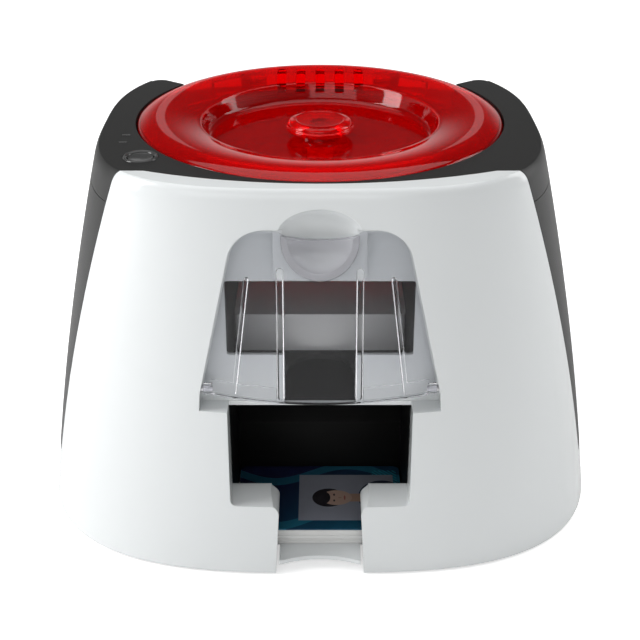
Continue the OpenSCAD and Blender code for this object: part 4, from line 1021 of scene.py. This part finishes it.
def card_print(name, colours):
    """The printed card: a blue wave design with a plain portrait in a pale panel."""
    made = Finish(name)
    low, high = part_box("printed_card_top")
    x, y, _ = made.parts()
    u = (x - low.x) / (high.x - low.x)
    v = (y - low.y) / (high.y - low.y)
    deep, light = tuple(colours.print_deep), tuple(colours.print_light)
    blend = u * 0.8 + (1 - v) * 0.5 - 0.35
    swell = (v * 9.0 + (u * 7.0).wave() * 1.2).wave()
    ground = made.mix(blend, deep, light)
    ground = made.mix((swell > 0.86) * 0.35, ground, (0.02, 0.30, 0.42))

    def inside(cx, cy, rx, ry):
        dx = (x - cx * MM) / (rx * MM)
        dy = (y - cy * MM) / (ry * MM)
        return dx * dx + dy * dy < 1.0

    def panel(x0, x1, y0, y1):
        return (x > x0 * MM) * (x < x1 * MM) * (y > y0 * MM) * (y < y1 * MM)

    hatch = panel(28, 41, -106, -60) * ((((x + y) * 2600.0).wave() > 0.2) * 1.0)
    ground = made.mix(hatch * 0.6, ground, (0.03, 0.42, 0.55))
    for k in range(3):
        ground = made.mix(panel(-37 + 6 * k, -35.4 + 6 * k, -98, -76 - 7 * k), ground, (0.30, 0.45, 0.62))
    frame_mask = panel(-11, 39, -103, -64)
    ground = made.mix(frame_mask, ground, (0.30, 0.31, 0.36))
    mid = -84.0
    for mask, tone in (
        (inside(33, mid, 13, 15), (0.035, 0.045, 0.07)),
        (panel(14, 24, mid - 3.4, mid + 3.4), (0.42, 0.27, 0.20)),
        (inside(4.5, mid, 8.5, 7.8), (0.016, 0.011, 0.009)),
        (inside(8.5, mid, 8.2, 6.3), (0.52, 0.35, 0.27)),
        (inside(0.8, mid, 4.6, 5.9), (0.016, 0.011, 0.009)),
        (inside(7.4, mid - 2.5, 0.5, 0.95), (0.03, 0.02, 0.02)),
        (inside(7.4, mid + 2.5, 0.5, 0.95), (0.03, 0.02, 0.02)),
        (inside(10.4, mid, 0.9, 0.55), (0.40, 0.25, 0.19)),
        (inside(12.9, mid, 0.45, 1.9), (0.36, 0.12, 0.10)),
    ):
        ground = made.mix(mask * frame_mask, ground, tone)
    dots = made.noise(5200.0, 1.0)
    made.set(Base_Color=made.mix(dots * 0.16, ground, (0.10, 0.13, 0.20)))
    made.set(Roughness=0.20 + 0.08 * dots, Coat_Weight=0.25)
    made.bump(dots, 1.0, 0.000006)


def circuit_board(name):
    """Solder-masked board with faint traces."""
    made = Finish(name)
    x, y, _ = made.parts()
    traces = ((x * 1500.0 + (y * 260.0).wave() * 2.0).wave() > 0.55) * ((y * 900.0).wave() > -0.2)
    patch = made.noise(160.0, 2.0)
    mask = made.mix(patch, (0.008, 0.07, 0.03), (0.012, 0.11, 0.05))
    made.set(Base_Color=made.mix(traces * 0.7, mask, (0.03, 0.22, 0.09)), Roughness=0.32 + 0.2 * (patch - 0.5))
    made.bump(traces, 0.6, 0.00004)


def make_finishes():
    """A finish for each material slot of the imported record, and three for pieces that differ within a slot."""
    tones = settings().colours
    moulded(WHITE_SLOT, tones.white, 0.18, 1800.0, 0.000010, 0.012, 0.0006, Coat_Weight=0.35, Coat_Roughness=0.05)
    moulded(DARK_SLOT, tones.dark, 0.46, 2600.0, 0.000035, 0.08, 0.0006, Specular_IOR_Level=0.35)
    moulded("black_plastic", (0.004, 0.004, 0.004), 0.5, 2200.0, 0.00003, 0.1, 0.0003, Specular_IOR_Level=0.25)
    moulded("gear_plastic", (0.62, 0.60, 0.52), 0.38, 1500.0, 0.00001, 0.05, 0.0002)
    moulded("roller_rubber", (0.014, 0.014, 0.015), 0.72, 3000.0, 0.00006, 0.15, 0.0003)
    moulded("card_white", (0.80, 0.80, 0.79), 0.22, 3500.0, 0.000006, 0.01, 0.0)
    moulded("ribbon_film", (0.02, 0.02, 0.05), 0.22, 900.0, 0.00004, 0.2, 0.0)
    moulded("lens_grey", (0.10, 0.10, 0.10), 0.25, 1200.0, 0.00001, 0.03, 0.0, Transmission_Weight=0.3)
    moulded("motor_metal", (0.30, 0.31, 0.33), 0.34, 1200.0, 0.00002, 0.06, 0.0004, Metallic=0.8)
    moulded(RED_SLOT, tones.red, 0.05, 900.0, 0.000003, 0.03, 0.0, Transmission_Weight=0.80, IOR=1.45)
    moulded(SMOKE_SLOT, tones.smoke, 0.05, 900.0, 0.000003, 0.02, 0.0005, Transmission_Weight=1.0, IOR=1.30)
    moulded("dent_frost", (0.66, 0.66, 0.69), 0.16, 900.0, 0.000003, 0.02, 0.0005, Transmission_Weight=0.66, IOR=1.33)
    moulded("deck_black", (0.012, 0.012, 0.012), 0.5, 2000.0, 0.00002, 0.06, 0.0004)
    moulded("bezel_gloss", (0.055, 0.055, 0.055), 0.14, 1500.0, 0.000004, 0.04, 0.0002)
    metal("steel_sheet", (0.55, 0.56, 0.57), 0.36, 1)
    metal("steel", (0.60, 0.60, 0.62), 0.24, 0)
    metal("bronze", (0.62, 0.42, 0.18), 0.34, 0)
    metal("head_metal", (0.66, 0.67, 0.69), 0.30, 0)
    circuit_board("board_green")
    card_print("card_print", tones)


def dress_nodes():
    """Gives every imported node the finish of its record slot."""
    for part in frame["record"]["subparts"]:
        node = frame["nodes"][part["node"]]
        node.data.materials.clear()
        node.data.materials.append(finish_of(part["material_slot"]))
    deck = frame["nodes"]["inner_deck"].data.materials
    deck.clear()
    deck.append(finish_of("deck_black"))


# Stage


# Name, place and height of the target in metres, width, height and watts
LAMPS = (
    ("lamp_top", (0.0, 0.15, 1.5), 0.1, 1.8, 1.4, 9.0),
    ("lamp_front", (-0.4, -1.6, 0.9), 0.08, 1.6, 0.7, 4.0),
    ("lamp_left", (-1.2, -0.2, 0.65), 0.1, 0.5, 1.1, 12.0),
    ("lamp_right", (1.25, 0.35, 0.6), 0.1, 0.5, 1.1, 5.0),
    ("lamp_back_left", (-0.31, 1.7, 0.68), 0.19, 0.12, 0.30, 0.04),
    ("lamp_back_right", (0.31, 1.7, 0.68), 0.19, 0.12, 0.30, 0.04),
)


def softbox(name, place, target, width, height, power):
    """A rectangular studio lamp aimed at a height on the printer's axis."""
    lamp = bpy.data.lights.new(name, "AREA")
    lamp.shape = "RECTANGLE"
    lamp.size, lamp.size_y = width, height
    lamp.energy = power
    box = bpy.data.objects.new(name, lamp)
    box.location = place
    box.rotation_euler = (Vector((0, 0, target)) - Vector(place)).to_track_quat("-Z", "Y").to_euler()
    bpy.context.scene.collection.objects.link(box)


def build_floor():
    """Pale floor that goes on past the view."""
    reach = 6.0 / MM
    floor = solid([(x, y, 0) for x, y in oblong(-reach, reach, -reach, reach)], [(0, 1, 2, 3)])
    floor.name = "floor"
    made = Finish("floor_pale")
    haze = made.noise(3.0, 2.0)
    made.set(Base_Color=made.mix(haze, (0.90, 0.90, 0.90), (0.93, 0.93, 0.93)), Roughness=0.9, Specular_IOR_Level=0.1)
    made.set(Emission_Color=made.mix(made.seen() * 0.5, (0.0, 0.0, 0.0), (1.0, 1.0, 1.0)), Emission_Strength=1.0)
    floor.data.materials.append(made.material)


def build_world():
    """Surroundings white to the eye, dimmer as light, and dark overhead in reflections."""
    world = bpy.data.worlds.new("studio")
    bpy.context.scene.world = world
    world.use_nodes = True
    sky = Shading(world.node_tree)
    height = sky.node("ShaderNodeSeparateXYZ", {}, {0: sky.node("ShaderNodeTexCoord", output="Generated")}, "Z")
    fade = {"Value": height, "From Min": 0.03, "From Max": 0.35, "To Min": 0.55, "To Max": 0.04}
    ceiling = sky.node("ShaderNodeMapRange", {"interpolation_type": "SMOOTHSTEP"}, fade, "Result")
    seen, light = sky.seen() * 1.0, 0.42
    glossy = sky.node("ShaderNodeLightPath", output="Is Glossy Ray") * (1.0 - seen)
    strength = seen + glossy * ceiling + light * (1.0 - seen) * (1.0 - glossy)
    white = (1.0, 1.0, 1.0, 1.0)
    surround = sky.node("ShaderNodeBackground", {}, {"Color": white, "Strength": strength})
    sky.node("ShaderNodeOutputWorld", {}, {0: surround})


def build_camera():
    """Camera at the photograph's viewing angle."""
    view = bpy.data.cameras.new("camera")
    view.sensor_width = 36.0
    view.lens = 64.1
    view.clip_start = 0.01
    holder = bpy.data.objects.new("camera", view)
    holder.location = (0.0, -0.566, 0.382)
    holder.rotation_euler = (math.radians(90 - 28.2), 0.0, 0.0)
    bpy.context.scene.collection.objects.link(holder)
    bpy.context.scene.camera = holder


# Operators


class CARDPRINTER_OT_finishes(bpy.types.Operator):
    """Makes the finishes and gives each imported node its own"""

    bl_idname = "card_printer.finishes"
    bl_label = "Finishes"

    def execute(self, context):
        make_finishes()
        dress_nodes()
        return {"FINISHED"}


class CARDPRINTER_OT_housing(bpy.types.Operator):
    """Builds the white front shell and base tray and the dark rear housing"""

    bl_idname = "card_printer.housing"
    bl_label = "Housing"

    def execute(self, context):
        build_front_shell()
        build_base_tray()
        build_rear_housing()
        return {"FINISHED"}


class CARDPRINTER_OT_collar(bpy.types.Operator):
    """Builds the dark collar round the lid"""

    bl_idname = "card_printer.collar"
    bl_label = "Top Collar"

    def execute(self, context):
        build_top_collar()
        return {"FINISHED"}


class CARDPRINTER_OT_lid(bpy.types.Operator):
    """Builds the red lid and its release knob"""

    bl_idname = "card_printer.lid"
    bl_label = "Lid and Knob"

    def execute(self, context):
        build_lid()
        build_knob()
        return {"FINISHED"}


class CARDPRINTER_OT_door(bpy.types.Operator):
    """Builds the smoke-clear feeder door"""

    bl_idname = "card_printer.door"
    bl_label = "Feeder Door"

    def execute(self, context):
        build_door()
        return {"FINISHED"}


class CARDPRINTER_OT_button(bpy.types.Operator):
    """Builds the power button and its bezel"""

    bl_idname = "card_printer.button"
    bl_label = "Power Button"

    def execute(self, context):
        build_button()
        return {"FINISHED"}


class CARDPRINTER_OT_card(bpy.types.Operator):
    """Builds the topmost printed card in the output bay"""

    bl_idname = "card_printer.card"
    bl_label = "Printed Card"

    def execute(self, context):
        build_printed_card()
        return {"FINISHED"}


class CARDPRINTER_OT_stage(bpy.types.Operator):
    """Sets up the floor, the surroundings, the lamps and the camera"""

    bl_idname = "card_printer.stage"
    bl_label = "Stage"

    def execute(self, context):
        build_floor()
        build_world()
        for lamp in LAMPS:
            softbox(*lamp)
        bpy.context.scene.view_settings.view_transform = "Standard"
        build_camera()
        return {"FINISHED"}


STEPS = (
    CARDPRINTER_OT_finishes,
    CARDPRINTER_OT_stage,
    CARDPRINTER_OT_housing,
    CARDPRINTER_OT_collar,
    CARDPRINTER_OT_lid,
    CARDPRINTER_OT_door,
    CARDPRINTER_OT_button,
    CARDPRINTER_OT_card,
)


class CARDPRINTER_PT_panel(bpy.types.Panel):
    """Sidebar panel that lists the steps of the card printer"""

    bl_idname = "CARDPRINTER_PT_panel"
    bl_label = "Card Printer"
    bl_space_type = "VIEW_3D"
    bl_region_type = "UI"
    bl_category = "Card Printer"

    def draw(self, context):
        for step in STEPS:
            self.layout.operator(step.bl_idname)
        for group in ("housing", "lid", "door", "colours"):
            box = self.layout.box()
            values = getattr(context.scene.card_printer, group)
            for key in values.__annotations__:
                box.prop(values, key)


CLASSES = (HousingSizes, LidSizes, DoorSizes, FinishColours, PrinterSettings, *STEPS, CARDPRINTER_PT_panel)


def register():
    """Registers the classes and the scene's settings."""
    for item in CLASSES:
        bpy.utils.register_class(item)
    bpy.types.Scene.card_printer = bpy.props.PointerProperty(
        type=PrinterSettings, name="Card Printer", description="Sizes and colours of the card printer"
    )


def unregister():
    """Takes the classes and the settings away."""
    del bpy.types.Scene.card_printer
    for item in reversed(CLASSES):
        bpy.utils.unregister_class(item)


def main():
    """Builds the dressed printer."""
    register()
    for step in STEPS:
        group, name = step.bl_idname.split(".")
        getattr(getattr(bpy.ops, group), name)()


if __name__ == "__main__":
    main()
